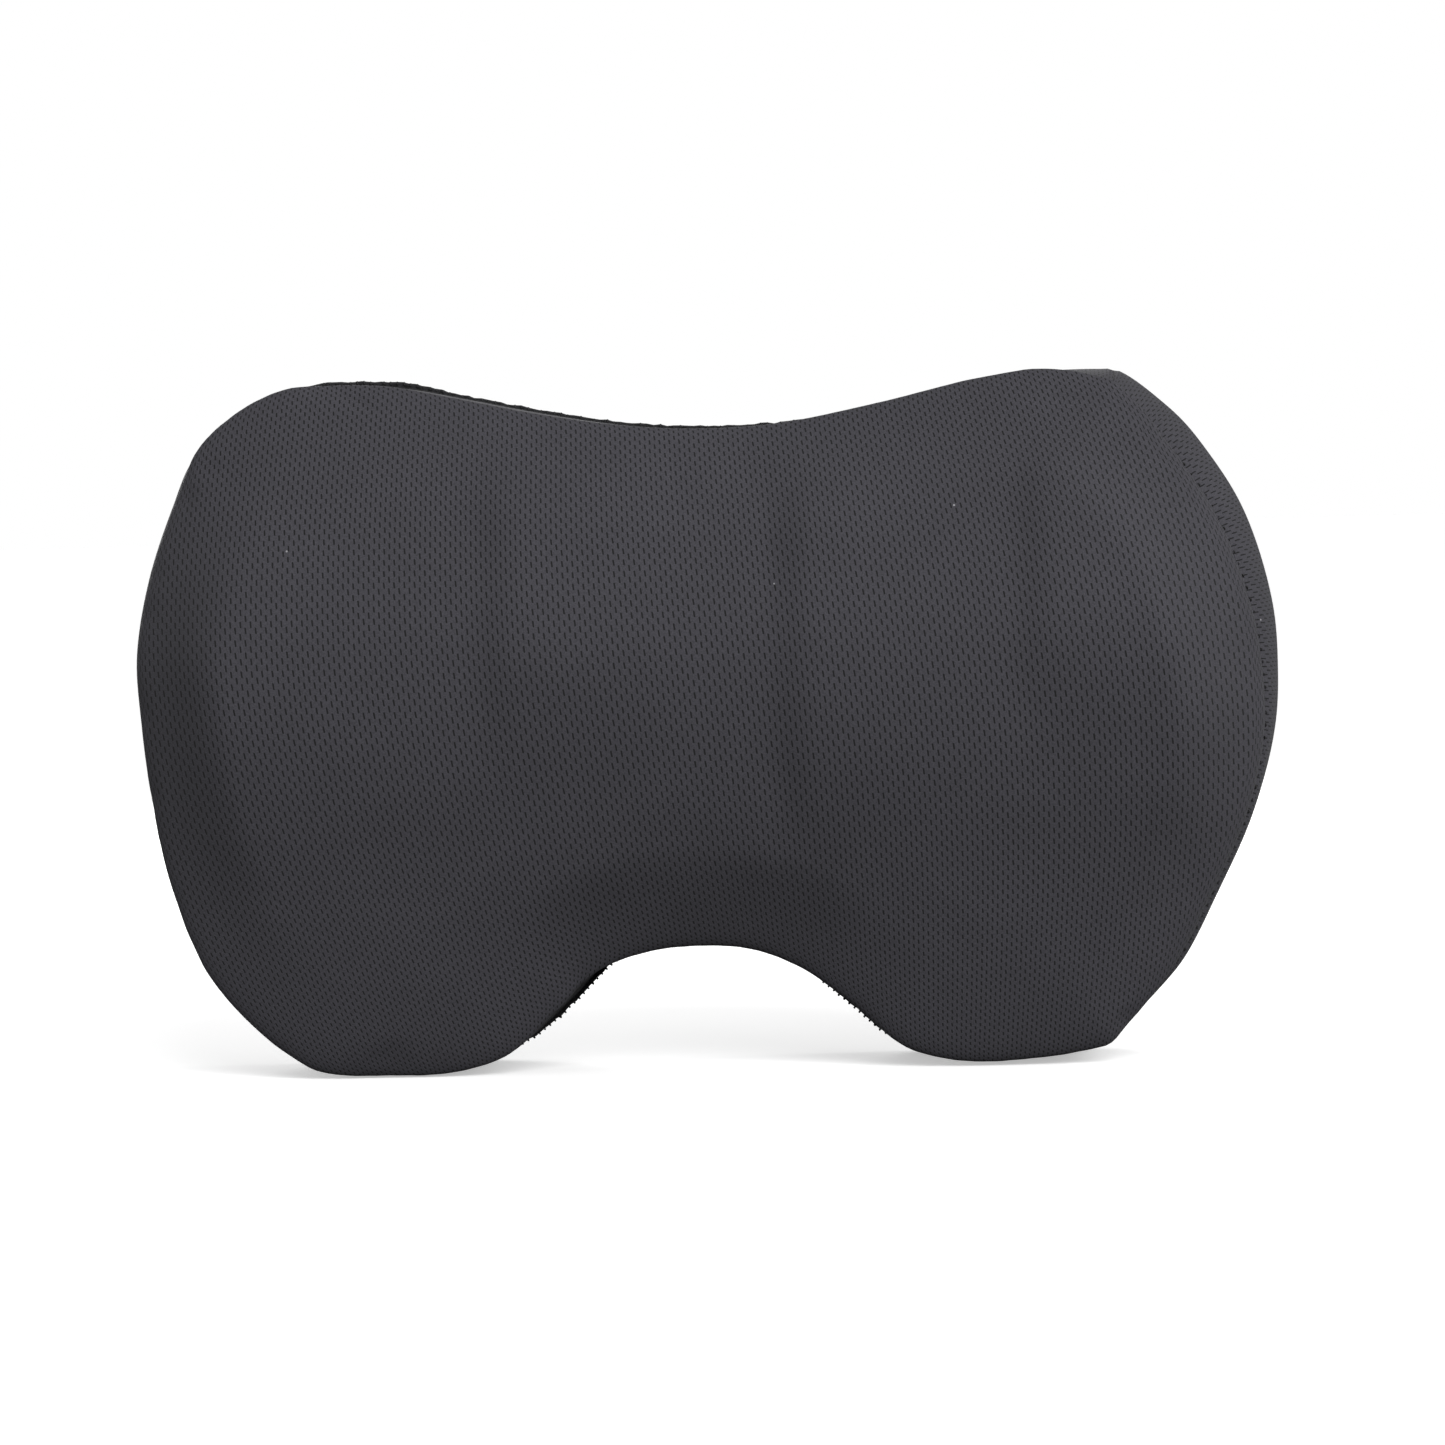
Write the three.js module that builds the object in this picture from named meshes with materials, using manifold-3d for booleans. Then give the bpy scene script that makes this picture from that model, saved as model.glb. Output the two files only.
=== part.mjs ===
// Lumbar support cushion: a moulded foam core in a zipped fabric cover, with an elastic strap and a
// side-release buckle across its back. Millimetres, +Z up, +X to the sitter's left, -Y towards the sitter.
// The cushion stands on its two lower lobes, with the origin under the middle of its box.

import * as THREE from 'three';
import { mergeVertices } from 'three/addons/utils/BufferGeometryUtils.js';
import Module from 'manifold-3d';

const wasm = await Module();
wasm.setup();

// ---- Driving dimensions ---------------------------------------------------------------------------------

const FRONT_Y = -52; // the front panel's furthest point, at the lumbar crest
const SEAM_Y = -16; // the seam between the front panel and the gusset
const BACK_Y = 42; // the outside of the flat back panel
const CREST_Z = 148; // height of the lumbar crest
const GUSSET_BULGE = 5; // how far the side gussets swell past their seams
const BACK_BULGE_SHARE = 0.6; // the back edge is drawn in less than the front seam

const COVER = 2; // cover fabric with its wadding
const LINER = 0.8; // the core's inner bag
const GAP = 0.3; // between pieces that touch
const ZIP_ROOM = 4; // space behind the back panel for the zip's inner side

// Right half of the largest outline, from the top waist, over the upper lobe, down to the arch's crown.
const HALF_OUTLINE = [
  [0, 215],
  [50, 220],
  [90, 228],
  [122, 231.5],
  [150, 223],
  [171, 201],
  [185, 166],
  [190, 130],
  [187, 95],
  [176, 62],
  [157, 27],
  [134, 5],
  [112, 0],
  [86, 0],
  [64, 8],
  [43, 27],
  [23, 38.5],
  [0, 41.5],
];
const STEPS_PER_POINT = 2;

const TOP_CORNER_X = 140; // where the top gusset is joined to the side gussets
const BOTTOM_CORNER_X = 136; // where the bottom gusset is joined to the side gussets

const ZIP_Z = 84; // centre line of the zip
const ZIP_HALF = 132; // half the length of the zip opening
const ZIP_SLOT = 7; // half the height of the zip opening
const SLIDER_X = -118; // the slider's place with the zip closed
const PIVOT_Y = 42.65; // the pull tab's pivot

const STRAP_Z = 150; // centre line of the elastic strap
const STRAP_W = 30;
const STRAP_T = 1.2;
const STRAP_END = 178; // where the strap is sewn down on each side
const BUCKLE_HALF = 20.5; // half the buckle's width
const BUCKLE_T = 10;
const BAR_HALF = 2.3; // half the thickness of the buckle's bars and tongue
const MOUTH_X = 4; // the socket's mouth
const ADJUSTER_X = 126; // the adjuster at rest, furthest from the buckle

// ---- Colours and materials ------------------------------------------------------------------------------

const FINISHES = {
  knit: { color: 0x3e3d42, roughness: 0.92, metalness: 0 },
  spacer_mesh: { color: 0x121214, roughness: 0.95, metalness: 0 },
  foam: { color: 0xe8e2d0, roughness: 0.95, metalness: 0 },
  liner: { color: 0xd9d9d6, roughness: 0.9, metalness: 0 },
  elastic: { color: 0x17171a, roughness: 0.85, metalness: 0 },
  zip_tape: { color: 0x161618, roughness: 0.9, metalness: 0 },
  zip_coil: { color: 0x101012, roughness: 0.45, metalness: 0 },
  zip_metal: { color: 0x2a2a2d, roughness: 0.4, metalness: 0.8 },
  acetal: { color: 0x0f0f11, roughness: 0.4, metalness: 0 },
  satin: { color: 0xe9e8e4, roughness: 0.6, metalness: 0 },
};

const cushion = new THREE.Group();

/** Adds one named piece with a finish. */
function addPiece(name, geometry, finish) {
  const mesh = new THREE.Mesh(geometry, new THREE.MeshStandardMaterial(FINISHES[finish]));
  mesh.name = name;
  cushion.add(mesh);
}

// ---- Solid helpers --------------------------------------------------------------------------------------

/** Six times the signed volume of an indexed geometry. */
function signedVolume(geometry) {
  const index = geometry.getIndex();
  const position = geometry.getAttribute('position');
  const corners = [new THREE.Vector3(), new THREE.Vector3(), new THREE.Vector3()];
  let total = 0;
  for (let i = 0; i < index.count; i += 3) {
    corners.forEach((corner, k) => corner.fromBufferAttribute(position, index.getX(i + k)));
    total += corners[0].dot(corners[1].clone().cross(corners[2]));
  }
  return total;
}

/** A closed geometry from points and triangles, without the collapsed ones, its faces turned outwards. */
function closedGeometry(points, triangles) {
  const raw = new THREE.BufferGeometry().setFromPoints(points);
  raw.setIndex(triangles.flat());
  const merged = mergeVertices(raw, 1e-4);
  const old = merged.getIndex();
  const kept = [];
  for (let i = 0; i < old.count; i += 3) {
    const [a, b, c] = [old.getX(i), old.getX(i + 1), old.getX(i + 2)];
    if (a !== b && b !== c && a !== c) kept.push([a, b, c]);
  }
  merged.setIndex(kept.flat());
  if (signedVolume(merged) < 0) merged.setIndex(kept.map(([a, b, c]) => [a, c, b]).flat());
  return merged;
}

/** A solid through rings of equal length, each end closed by a fan to the given point. */
function loft(rings, firstPoint, lastPoint) {
  const count = rings[0].length;
  const points = [...rings.flat(), firstPoint, lastPoint];
  const first = points.length - 2;
  const last = points.length - 1;
  const end = (rings.length - 1) * count;
  const triangles = [];
  for (let i = 0; i < count; i++) {
    const next = (i + 1) % count;
    triangles.push([first, next, i], [last, end + i, end + next]);
    for (let r = 0; r < end; r += count) {
      triangles.push([r + i, r + next, r + count + next], [r + i, r + count + next, r + count + i]);
    }
  }
  return closedGeometry(points, triangles);
}

/** Turns a closed geometry into a solid for cutting and joining. */
function toSolid(geometry) {
  const plain = geometry.clone();
  plain.deleteAttribute('normal');
  plain.deleteAttribute('uv');
  const merged = mergeVertices(plain, 1e-4);
  const mesh = new wasm.Mesh({
    numProp: 3,
    vertProperties: new Float32Array(merged.getAttribute('position').array),
    triVerts: new Uint32Array(merged.getIndex().array),
  });
  return new wasm.Manifold(mesh);
}

/** Turns a solid back into a geometry. */
function toGeometry(solid) {
  const mesh = solid.getMesh();
  const geometry = new THREE.BufferGeometry();
  geometry.setAttribute('position', new THREE.BufferAttribute(mesh.vertProperties, 3));
  geometry.setIndex(new THREE.BufferAttribute(mesh.triVerts, 1));
  return geometry;
}

/** A box between two corners. */
function block([x0, y0, z0], [x1, y1, z1]) {
  const geometry = new THREE.BoxGeometry(x1 - x0, y1 - y0, z1 - z0);
  return geometry.translate((x0 + x1) / 2, (y0 + y1) / 2, (z0 + z1) / 2);
}

const blockSolid = (low, high) => toSolid(block(low, high));

/** A plate cut from an outline of [x, z] points, between two depths. */
function plateXZ(outline, y0, y1) {
  const shape = new THREE.Shape(outline.map(([x, z]) => new THREE.Vector2(x, z)));
  const geometry = new THREE.ExtrudeGeometry(shape, { depth: y1 - y0, bevelEnabled: false });
  return geometry.rotateX(Math.PI / 2).translate(0, y1, 0);
}

/** A band cut from an outline of [x, y] points, between two heights. */
function bandXY(outline, z0, z1) {
  const shape = new THREE.Shape(outline.map(([x, y]) => new THREE.Vector2(x, y)));
  const geometry = new THREE.ExtrudeGeometry(shape, { depth: z1 - z0, bevelEnabled: false });
  return geometry.translate(0, 0, z0);
}

/** Corner points of a rectangle with its corners cut off by the given amount. */
function softRectangle(x0, z0, x1, z1, cut) {
  return [
    [x0 + cut, z0],
    [x1 - cut, z0],
    [x1, z0 + cut],
    [x1, z1 - cut],
    [x1 - cut, z1],
    [x0 + cut, z1],
    [x0, z1 - cut],
    [x0, z0 + cut],
  ];
}

// ---- The cushion's form ---------------------------------------------------------------------------------

/** The closed outline's points, clockwise from the top waist, flat where the lobes stand. */
function largestOutline() {
  const left = HALF_OUTLINE.slice(1, -1).reverse().map(([x, z]) => [-x, z]);
  const controls = [...HALF_OUTLINE, ...left].map(([x, z]) => new THREE.Vector3(x, 0, z));
  const curve = new THREE.CatmullRomCurve3(controls, true, 'centripetal');
  const points = curve.getPoints(controls.length * STEPS_PER_POINT).slice(0, -1);
  return points.map((p) => new THREE.Vector3(p.x, 0, Math.max(p.z, 0)));
}

const OUTLINE = largestOutline();
const SPAN = { low: 110, high: 165 }; // from here outwards the gusset is the swelling side gusset

/** How much of the side swelling a point has: none at the middle, all of it at the sides. */
const sideShare = (point) => THREE.MathUtils.smoothstep(Math.abs(point.x), SPAN.low, SPAN.high);

/** Outward normal of the outline at a point. */
function outwardNormal(i) {
  const count = OUTLINE.length;
  const along = OUTLINE[(i + 1) % count].clone().sub(OUTLINE[(i + count - 1) % count]);
  return new THREE.Vector3(-along.z, 0, along.x).normalize();
}

/** The outline drawn in by a distance, plus the gusset's own curve at that depth. */
function ring(y, inset) {
  const share = (y - SEAM_Y) / (BACK_Y - SEAM_Y);
  const ends = share < 0.5 ? 1 : BACK_BULGE_SHARE;
  const swell = GUSSET_BULGE * ends * (2 * share - 1) ** 2;
  return OUTLINE.map((point, i) => {
    const moved = outwardNormal(i).multiplyScalar(-inset - swell * sideShare(point));
    return point.clone().add(moved).setY(y);
  });
}

/** The crown's height as a share, for a ring at a share of the outline's size. */
const crownShare = (size) => (1 - size ** 2.4) ** 0.62;

/** The whole cushion's form, drawn in by a distance all over, with its back at the given depth. */
function cushionForm(inset, backY) {
  const centre = new THREE.Vector3(0, 0, CREST_Z);
  const depths = [backY, 26, 8, SEAM_Y];
  const gusset = depths.map((y) => ring(y, inset));
  const seam = gusset.at(-1);
  const crown = SEAM_Y - FRONT_Y - inset;
  const front = [0.94, 0.84, 0.69, 0.5, 0.27].map((size) =>
    seam.map((point) => {
      const scaled = point.clone().sub(centre).multiplyScalar(size).add(centre);
      return scaled.setY(SEAM_Y - crown * crownShare(size));
    }),
  );
  const back = centre.clone().setY(backY);
  return loft([...gusset, ...front], back, centre.clone().setY(SEAM_Y - crown));
}

const REACH = 400; // larger than the cushion, for cutting planes

/** The part of a solid inside a box that is open on the sides left out. */
function clip(solid, { x = [-REACH, REACH], y = [-REACH, REACH], z = [-REACH, REACH] }) {
  return solid.intersect(blockSolid([x[0], y[0], z[0]], [x[1], y[1], z[1]]));
}

// ---- Core and liner -------------------------------------------------------------------------------------

const linerBack = BACK_Y - COVER - ZIP_ROOM;
const coreInset = COVER + GAP + LINER + GAP;
addPiece('foam_core', cushionForm(coreInset, linerBack - LINER - GAP), 'foam');

const LINER_SLOT = { x: 110, z: [96, 99] }; // the slit that the core goes in through
const linerShell = toSolid(cushionForm(COVER + GAP, linerBack))
  .subtract(toSolid(cushionForm(COVER + GAP + LINER, linerBack - LINER)))
  .subtract(
    blockSolid(
      [-LINER_SLOT.x, linerBack - LINER - 1, LINER_SLOT.z[0]],
      [LINER_SLOT.x, linerBack + 1, LINER_SLOT.z[1]],
    ),
  );
addPiece('core_liner', toGeometry(linerShell), 'liner');

// ---- Cover: front panel, four gussets, back panel in two parts ------------------------------------------

const coverShell = toSolid(cushionForm(0, BACK_Y)).subtract(toSolid(cushionForm(COVER, BACK_Y - COVER)));
addPiece('front_panel', toGeometry(clip(coverShell, { y: [-REACH, SEAM_Y - GAP / 2] })), 'knit');

const gussetRing = clip(coverShell, { y: [SEAM_Y + GAP / 2, BACK_Y - COVER - GAP] });
const upper = [CREST_Z, REACH];
const lower = [-REACH, CREST_Z];
const GUSSETS = {
  gusset_top: clip(gussetRing, { x: [-TOP_CORNER_X, TOP_CORNER_X], z: upper }),
  gusset_bottom: clip(gussetRing, { x: [-BOTTOM_CORNER_X, BOTTOM_CORNER_X], z: lower }),
};
for (const [name, side] of [['gusset_left', -1], ['gusset_right', 1]]) {
  const beyond = (corner) => (side > 0 ? [corner + GAP, REACH] : [-REACH, -corner - GAP]);
  GUSSETS[name] = clip(gussetRing, { x: beyond(TOP_CORNER_X), z: upper })
    .add(clip(gussetRing, { x: beyond(BOTTOM_CORNER_X), z: lower }));
}
for (const [name, solid] of Object.entries(GUSSETS)) addPiece(name, toGeometry(solid), 'knit');

/** Height of the back panel's edge at a place along it, on its upper or its lower side. */
function edgeHeight(edge, x) {
  for (let i = 1; i < edge.length; i++) {
    const [a, b] = [edge[i - 1], edge[i]];
    if (x <= b.x) return THREE.MathUtils.lerp(a.z, b.z, (x - a.x) / (b.x - a.x));
  }
  return edge.at(-1).z;
}

const backRing = ring(BACK_Y, 0);
const ends = {
  right: backRing.reduce((a, b) => (b.x > a.x ? b : a)),
  left: backRing.reduce((a, b) => (b.x < a.x ? b : a)),
};
const leftToRight = [...backRing].sort((a, b) => a.x - b.x);
const topEdge = leftToRight.filter((p) => p.z >= ends.left.z);
const bottomEdge = leftToRight.filter((p) => p.z <= ends.left.z);

/** A flat panel between two heights, in columns, with rows at the levels of what lies across it. */
function backPanel(low, high, levels) {
  const inside = leftToRight.filter((p) => edgeHeight(topEdge, p.x) > low && edgeHeight(bottomEdge, p.x) < high);
  const columns = [...new Set(inside.map((p) => p.x.toFixed(3)))].map(Number);
  const points = [];
  for (const y of [BACK_Y - COVER, BACK_Y]) {
    for (const x of columns) {
      const floor = Math.max(low, edgeHeight(bottomEdge, x));
      const roof = Math.min(high, edgeHeight(topEdge, x));
      for (const level of [low - REACH, ...levels, high + REACH]) {
        points.push(new THREE.Vector3(x, y, THREE.MathUtils.clamp(level, floor, roof)));
      }
    }
  }
  const rows = levels.length + 2;
  const layer = columns.length * rows;
  const at = (side, column, row) => side * layer + column * rows + row;
  const triangles = [];
  const quad = (a, b, c, d) => triangles.push([a, b, c], [a, c, d]);
  for (let c = 0; c + 1 < columns.length; c++) {
    for (let r = 0; r + 1 < rows; r++) {
      quad(at(0, c, r), at(0, c + 1, r), at(0, c + 1, r + 1), at(0, c, r + 1));
      quad(at(1, c, r), at(1, c, r + 1), at(1, c + 1, r + 1), at(1, c + 1, r));
    }
    quad(at(0, c, 0), at(1, c, 0), at(1, c + 1, 0), at(0, c + 1, 0));
    quad(at(0, c, rows - 1), at(0, c + 1, rows - 1), at(1, c + 1, rows - 1), at(1, c, rows - 1));
  }
  for (const [c, turned] of [[0, false], [columns.length - 1, true]]) {
    for (let r = 0; r + 1 < rows; r++) {
      const face = [at(0, c, r), at(0, c, r + 1), at(1, c, r + 1), at(1, c, r)];
      quad(...(turned ? face.reverse() : face));
    }
  }
  return closedGeometry(points, triangles);
}

const zipSlot = blockSolid([-ZIP_HALF - 2, 0, ZIP_Z - ZIP_SLOT], [ZIP_HALF + 2, REACH, ZIP_Z + ZIP_SLOT]);
const strapLevels = [STRAP_Z - STRAP_W, STRAP_Z + STRAP_W];
addPiece('back_panel_upper', backPanel(ZIP_Z + ZIP_SLOT, REACH, strapLevels), 'spacer_mesh');
const lowerPanel = toSolid(backPanel(0, ZIP_Z + ZIP_SLOT - GAP, [])).subtract(zipSlot);
addPiece('back_panel_lower', toGeometry(lowerPanel), 'spacer_mesh');

const label = block([96, BACK_Y + GAP, 34], [122, BACK_Y + GAP + 0.5, 70]);
addPiece('care_label', label, 'satin');

// ---- Zip: two tapes, two coils, end stops, slider and pull tab ------------------------------------------

const COIL_Y = [37.9, 40.1];
const COIL_Z = [0.5, 3.1]; // each coil's near and far side from the centre line
const TAPE_Y = [38.6, 39.4];
const TAPE_FAR = 12;
const STOP_X = 127;
for (const [name, side] of [['upper', 1], ['lower', -1]]) {
  const strip = (near, far, y, half) => {
    const heights = [ZIP_Z + side * near, ZIP_Z + side * far].sort((a, b) => a - b);
    return block([-half, y[0], heights[0]], [half, y[1], heights[1]]);
  };
  addPiece(`zip_tape_${name}`, strip(COIL_Z[1] + GAP, TAPE_FAR, TAPE_Y, ZIP_HALF), 'zip_tape');
  addPiece(`zip_coil_${name}`, strip(...COIL_Z, COIL_Y, STOP_X - GAP), 'zip_coil');
}
for (const [name, side] of [['left', -1], ['right', 1]]) {
  const span = [side * STOP_X, side * (STOP_X + 3)].sort((a, b) => a - b);
  const stop = block([span[0], COIL_Y[0], ZIP_Z - COIL_Z[1]], [span[1], COIL_Y[1] + 0.4, ZIP_Z + COIL_Z[1]]);
  addPiece(`zip_stop_${name}`, stop, 'zip_metal');
}

/** The slider: two plates joined by a web that runs between the coils, and a bridge for the pull tab. */
function zipSlider() {
  const plate = (y0, y1) => blockSolid([SLIDER_X - 5.5, y0, ZIP_Z - 4.2], [SLIDER_X + 5.5, y1, ZIP_Z + 4.2]);
  const web = blockSolid([SLIDER_X - 3, 37, ZIP_Z - 0.25], [SLIDER_X + 3, 41, ZIP_Z + 0.25]);
  const bridge = bandXY(
    [
      [-3.4, 41.2],
      [-2.2, 41.2],
      [-2.2, 43.5],
      [2.2, 43.5],
      [2.2, 41.2],
      [3.4, 41.2],
      [3.4, 44],
      [2.8, 44.6],
      [-2.8, 44.6],
      [-3.4, 44],
    ],
    ZIP_Z - 0.8,
    ZIP_Z + 0.8,
  ).translate(SLIDER_X, 0, 0);
  return plate(40.5, 41.7).add(plate(36.4, 37.5)).add(web).add(toSolid(bridge));
}
addPiece('zip_slider', toGeometry(zipSlider()), 'zip_metal');

/** The pull tab: a flat plate with a window that leaves a bar under the slider's bridge. */
function zipPull() {
  const bar = 0.55; // half the bar's thickness
  const y = [PIVOT_Y - bar, PIVOT_Y + bar];
  const tab = toSolid(plateXZ(softRectangle(-bar, -3.4, 26, 3.4, 1.2), ...y));
  const cut = (x0, x1, half) => blockSolid([x0, 0, -half], [x1, REACH, half]);
  const pull = tab.subtract(cut(bar, 5, 1.3)).subtract(cut(19, 23, 1.6));
  return toGeometry(pull).translate(SLIDER_X, 0, ZIP_Z);
}
addPiece('zip_pull', zipPull(), 'zip_metal');

// ---- Strap, buckle and adjuster -------------------------------------------------------------------------

const strapY = BACK_Y + GAP;
const buckleY = [strapY, strapY + BUCKLE_T];
const midY = strapY + BUCKLE_T / 2;
const halfStrap = STRAP_W / 2;
const slotHalf = halfStrap + 0.5;
const zRange = (half) => [STRAP_Z - half, STRAP_Z + half];

/** A block between two places along the strap and two depths, as wide as given. */
function acrossStrap([x0, x1], [y0, y1], half) {
  const z = zRange(half);
  return block([x0, y0, z[0]], [x1, y1, z[1]]);
}

/** Strap wound round a bar: flat on the back, up the ramp and round the bar. side is -1 for the left. */
function strapRound(side, flatEnd, rampEnd, barNear, barFar) {
  const low = midY - BAR_HALF - GAP;
  const high = midY + BAR_HALF + GAP;
  const outline = [
    [flatEnd, strapY],
    [rampEnd, strapY],
    [barFar + GAP + STRAP_T, low - STRAP_T],
    [barNear - GAP - STRAP_T, low - STRAP_T],
    [barNear - GAP - STRAP_T, high + STRAP_T],
    [barFar + GAP + STRAP_T, high + STRAP_T],
    [barFar + GAP + STRAP_T, high],
    [barNear - GAP, high],
    [barNear - GAP, low],
    [barFar + GAP + STRAP_T, low],
    [rampEnd + STRAP_T, strapY + STRAP_T],
    [flatEnd, strapY + STRAP_T],
  ];
  const turned = outline.map(([x, y]) => [side * x, y]);
  return bandXY(side > 0 ? turned : turned.reverse(), ...zRange(halfStrap));
}

const FEMALE = { far: -33, bar: -30, slot: -24, floor: -20, windowFar: -17, windowNear: -5 };
addPiece('strap_left', strapRound(-1, STRAP_END, 42, -FEMALE.bar, -FEMALE.far), 'elastic');

/** The socket half: a housing with an open mouth, two side windows and a bar for the strap. */
function buckleFemale() {
  const [z0, z1] = zRange(BUCKLE_HALF);
  const housing = toSolid(plateXZ(softRectangle(FEMALE.far, z0, MOUTH_X, z1, 3), ...buckleY));
  const inner = [midY - BAR_HALF - 0.7, midY + BAR_HALF + 0.7];
  const cuts = [
    acrossStrap([FEMALE.floor, MOUTH_X + 1], inner, 17),
    acrossStrap([FEMALE.windowFar, FEMALE.windowNear], inner, BUCKLE_HALF + 1),
    acrossStrap([FEMALE.bar, FEMALE.slot], [0, REACH], slotHalf),
    acrossStrap([FEMALE.far - 1, FEMALE.bar + 1], [0, midY - BAR_HALF], slotHalf),
    acrossStrap([FEMALE.far - 1, FEMALE.bar + 1], [midY + BAR_HALF, REACH], slotHalf),
  ];
  return cuts.reduce((solid, cut) => solid.subtract(toSolid(cut)), housing);
}
addPiece('buckle_female', toGeometry(buckleFemale()), 'acetal');

const MALE = { near: MOUTH_X + GAP, slot: 20, bar: 26, far: 29, tongueTip: -19 };

/** The plug half: a grip with a bar for the strap, and the centre tongue. */
function buckleMale() {
  const [z0, z1] = zRange(BUCKLE_HALF);
  const grip = toSolid(plateXZ(softRectangle(MALE.near, z0, MALE.far, z1, 3), ...buckleY));
  const core = [midY - BAR_HALF, midY + BAR_HALF];
  const tongue = toSolid(acrossStrap([MALE.tongueTip, MALE.near + 1], core, 3));
  const cuts = [
    acrossStrap([MALE.slot, MALE.bar], [0, REACH], slotHalf),
    acrossStrap([MALE.bar - 1, MALE.far + 1], [0, core[0]], slotHalf),
    acrossStrap([MALE.bar - 1, MALE.far + 1], [core[1], REACH], slotHalf),
  ];
  return cuts.reduce((solid, cut) => solid.subtract(toSolid(cut)), grip.add(tongue));
}
addPiece('buckle_male', toGeometry(buckleMale()), 'acetal');

const ARM_ROOT_X = MALE.near - GAP;
// One squeeze arm from its root to its barb, as [x, height above the strap's centre line].
const ARM = [
  [ARM_ROOT_X, 9],
  [ARM_ROOT_X, 13.5],
  [FEMALE.windowNear - GAP, 15.5],
  [FEMALE.windowNear - GAP, 20],
  [-10, 19.4],
  [-16, 13.5],
  [-17, 11],
  [-9, 11.5],
];
for (const [name, side] of [['upper', 1], ['lower', -1]]) {
  const outline = ARM.map(([x, z]) => [x, STRAP_Z + side * z]);
  addPiece(`buckle_arm_${name}`, plateXZ(outline, midY - BAR_HALF, midY + BAR_HALF), 'acetal');
}

// The right strap: its long run on the back, and the length that returns from the buckle to the adjuster.
const RETURN = { ramp: 40, end: ADJUSTER_X + 3, y: strapY + STRAP_T + GAP };
addPiece('strap_right', acrossStrap([RETURN.ramp, STRAP_END], [strapY, strapY + STRAP_T], halfStrap), 'elastic');
const returnLoop = bandXY(
  [
    [MALE.bar - GAP - STRAP_T, midY - BAR_HALF - GAP - STRAP_T],
    [MALE.far + GAP + STRAP_T, midY - BAR_HALF - GAP - STRAP_T],
    [RETURN.ramp - GAP, strapY],
    [RETURN.ramp - GAP, RETURN.y],
    [RETURN.end, RETURN.y],
    [RETURN.end, RETURN.y + STRAP_T],
    [RETURN.ramp, RETURN.y + STRAP_T],
    [MALE.far + GAP + STRAP_T, midY + BAR_HALF + GAP + STRAP_T],
    [MALE.bar - GAP - STRAP_T, midY + BAR_HALF + GAP + STRAP_T],
    [MALE.bar - GAP - STRAP_T, midY + BAR_HALF],
    [MALE.bar - GAP, midY + BAR_HALF + GAP],
    [MALE.far + GAP, midY + BAR_HALF + GAP],
    [MALE.far + GAP, midY - BAR_HALF - GAP],
    [MALE.bar - GAP, midY - BAR_HALF - GAP],
  ],
  ...zRange(halfStrap),
);
addPiece('strap_return', returnLoop, 'elastic');

/** The adjuster: a flat frame with two slots, either side of its centre bar. */
function strapAdjuster() {
  const y = [RETURN.y + STRAP_T + GAP, RETURN.y + STRAP_T + GAP + 3.6];
  const [z0, z1] = zRange(halfStrap + 4.5);
  const frame = toSolid(plateXZ(softRectangle(ADJUSTER_X - 12, z0, ADJUSTER_X + 12, z1, 3), ...y));
  return [-1, 1].reduce((solid, side) => {
    const span = [ADJUSTER_X + side * 2, ADJUSTER_X + side * 8.5].sort((a, b) => a - b);
    return solid.subtract(toSolid(acrossStrap(span, [0, REACH], slotHalf)));
  }, frame);
}
addPiece('strap_adjuster', toGeometry(strapAdjuster()), 'acetal');

// Bartacked patches where the strap's two ends are sewn down to the back panel.
for (const [name, side] of [['left', -1], ['right', 1]]) {
  const span = [side * (STRAP_END - 14), side * (STRAP_END - 1)].sort((a, b) => a - b);
  const patchY = strapY + STRAP_T + GAP;
  addPiece(`strap_patch_${name}`, acrossStrap(span, [patchY, patchY + 1], halfStrap + 1), 'elastic');
}

export default cushion;
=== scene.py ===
"""Lumbar support cushion: knit cover with a black mesh back, zip, elastic strap and side-release buckle.

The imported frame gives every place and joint. Each class below builds one sub-assembly around it.
"""

import logging
import math
from collections.abc import Callable, Sequence
from dataclasses import dataclass, field
from enum import Enum

import bmesh
import bpy
import numpy as np
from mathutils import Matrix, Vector


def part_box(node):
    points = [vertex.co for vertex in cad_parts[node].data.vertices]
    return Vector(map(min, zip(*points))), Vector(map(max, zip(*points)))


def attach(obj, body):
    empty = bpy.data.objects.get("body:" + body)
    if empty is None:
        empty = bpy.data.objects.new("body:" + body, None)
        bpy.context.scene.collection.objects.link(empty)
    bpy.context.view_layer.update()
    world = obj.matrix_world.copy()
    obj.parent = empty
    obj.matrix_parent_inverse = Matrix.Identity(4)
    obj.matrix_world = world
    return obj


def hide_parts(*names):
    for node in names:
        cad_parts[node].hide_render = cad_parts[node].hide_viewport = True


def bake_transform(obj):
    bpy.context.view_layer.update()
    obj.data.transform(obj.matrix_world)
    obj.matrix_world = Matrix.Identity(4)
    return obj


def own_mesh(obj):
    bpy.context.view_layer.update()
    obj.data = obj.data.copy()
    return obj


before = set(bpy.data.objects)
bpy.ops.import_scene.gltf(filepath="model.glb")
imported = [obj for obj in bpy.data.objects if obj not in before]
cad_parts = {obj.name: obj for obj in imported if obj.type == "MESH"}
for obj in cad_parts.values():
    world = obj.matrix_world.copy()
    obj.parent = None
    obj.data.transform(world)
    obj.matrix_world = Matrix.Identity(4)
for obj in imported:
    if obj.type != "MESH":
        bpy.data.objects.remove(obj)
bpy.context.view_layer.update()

LOG = logging.getLogger("cushion")
MM = 0.001
MATH = "ShaderNodeMath"
REARWARD = (0.0, 1.0, 0.0)
UV_MAP = "weave"
Tree = bpy.types.NodeTree
Socket = bpy.types.NodeSocket
Piece = bpy.types.Object


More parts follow.
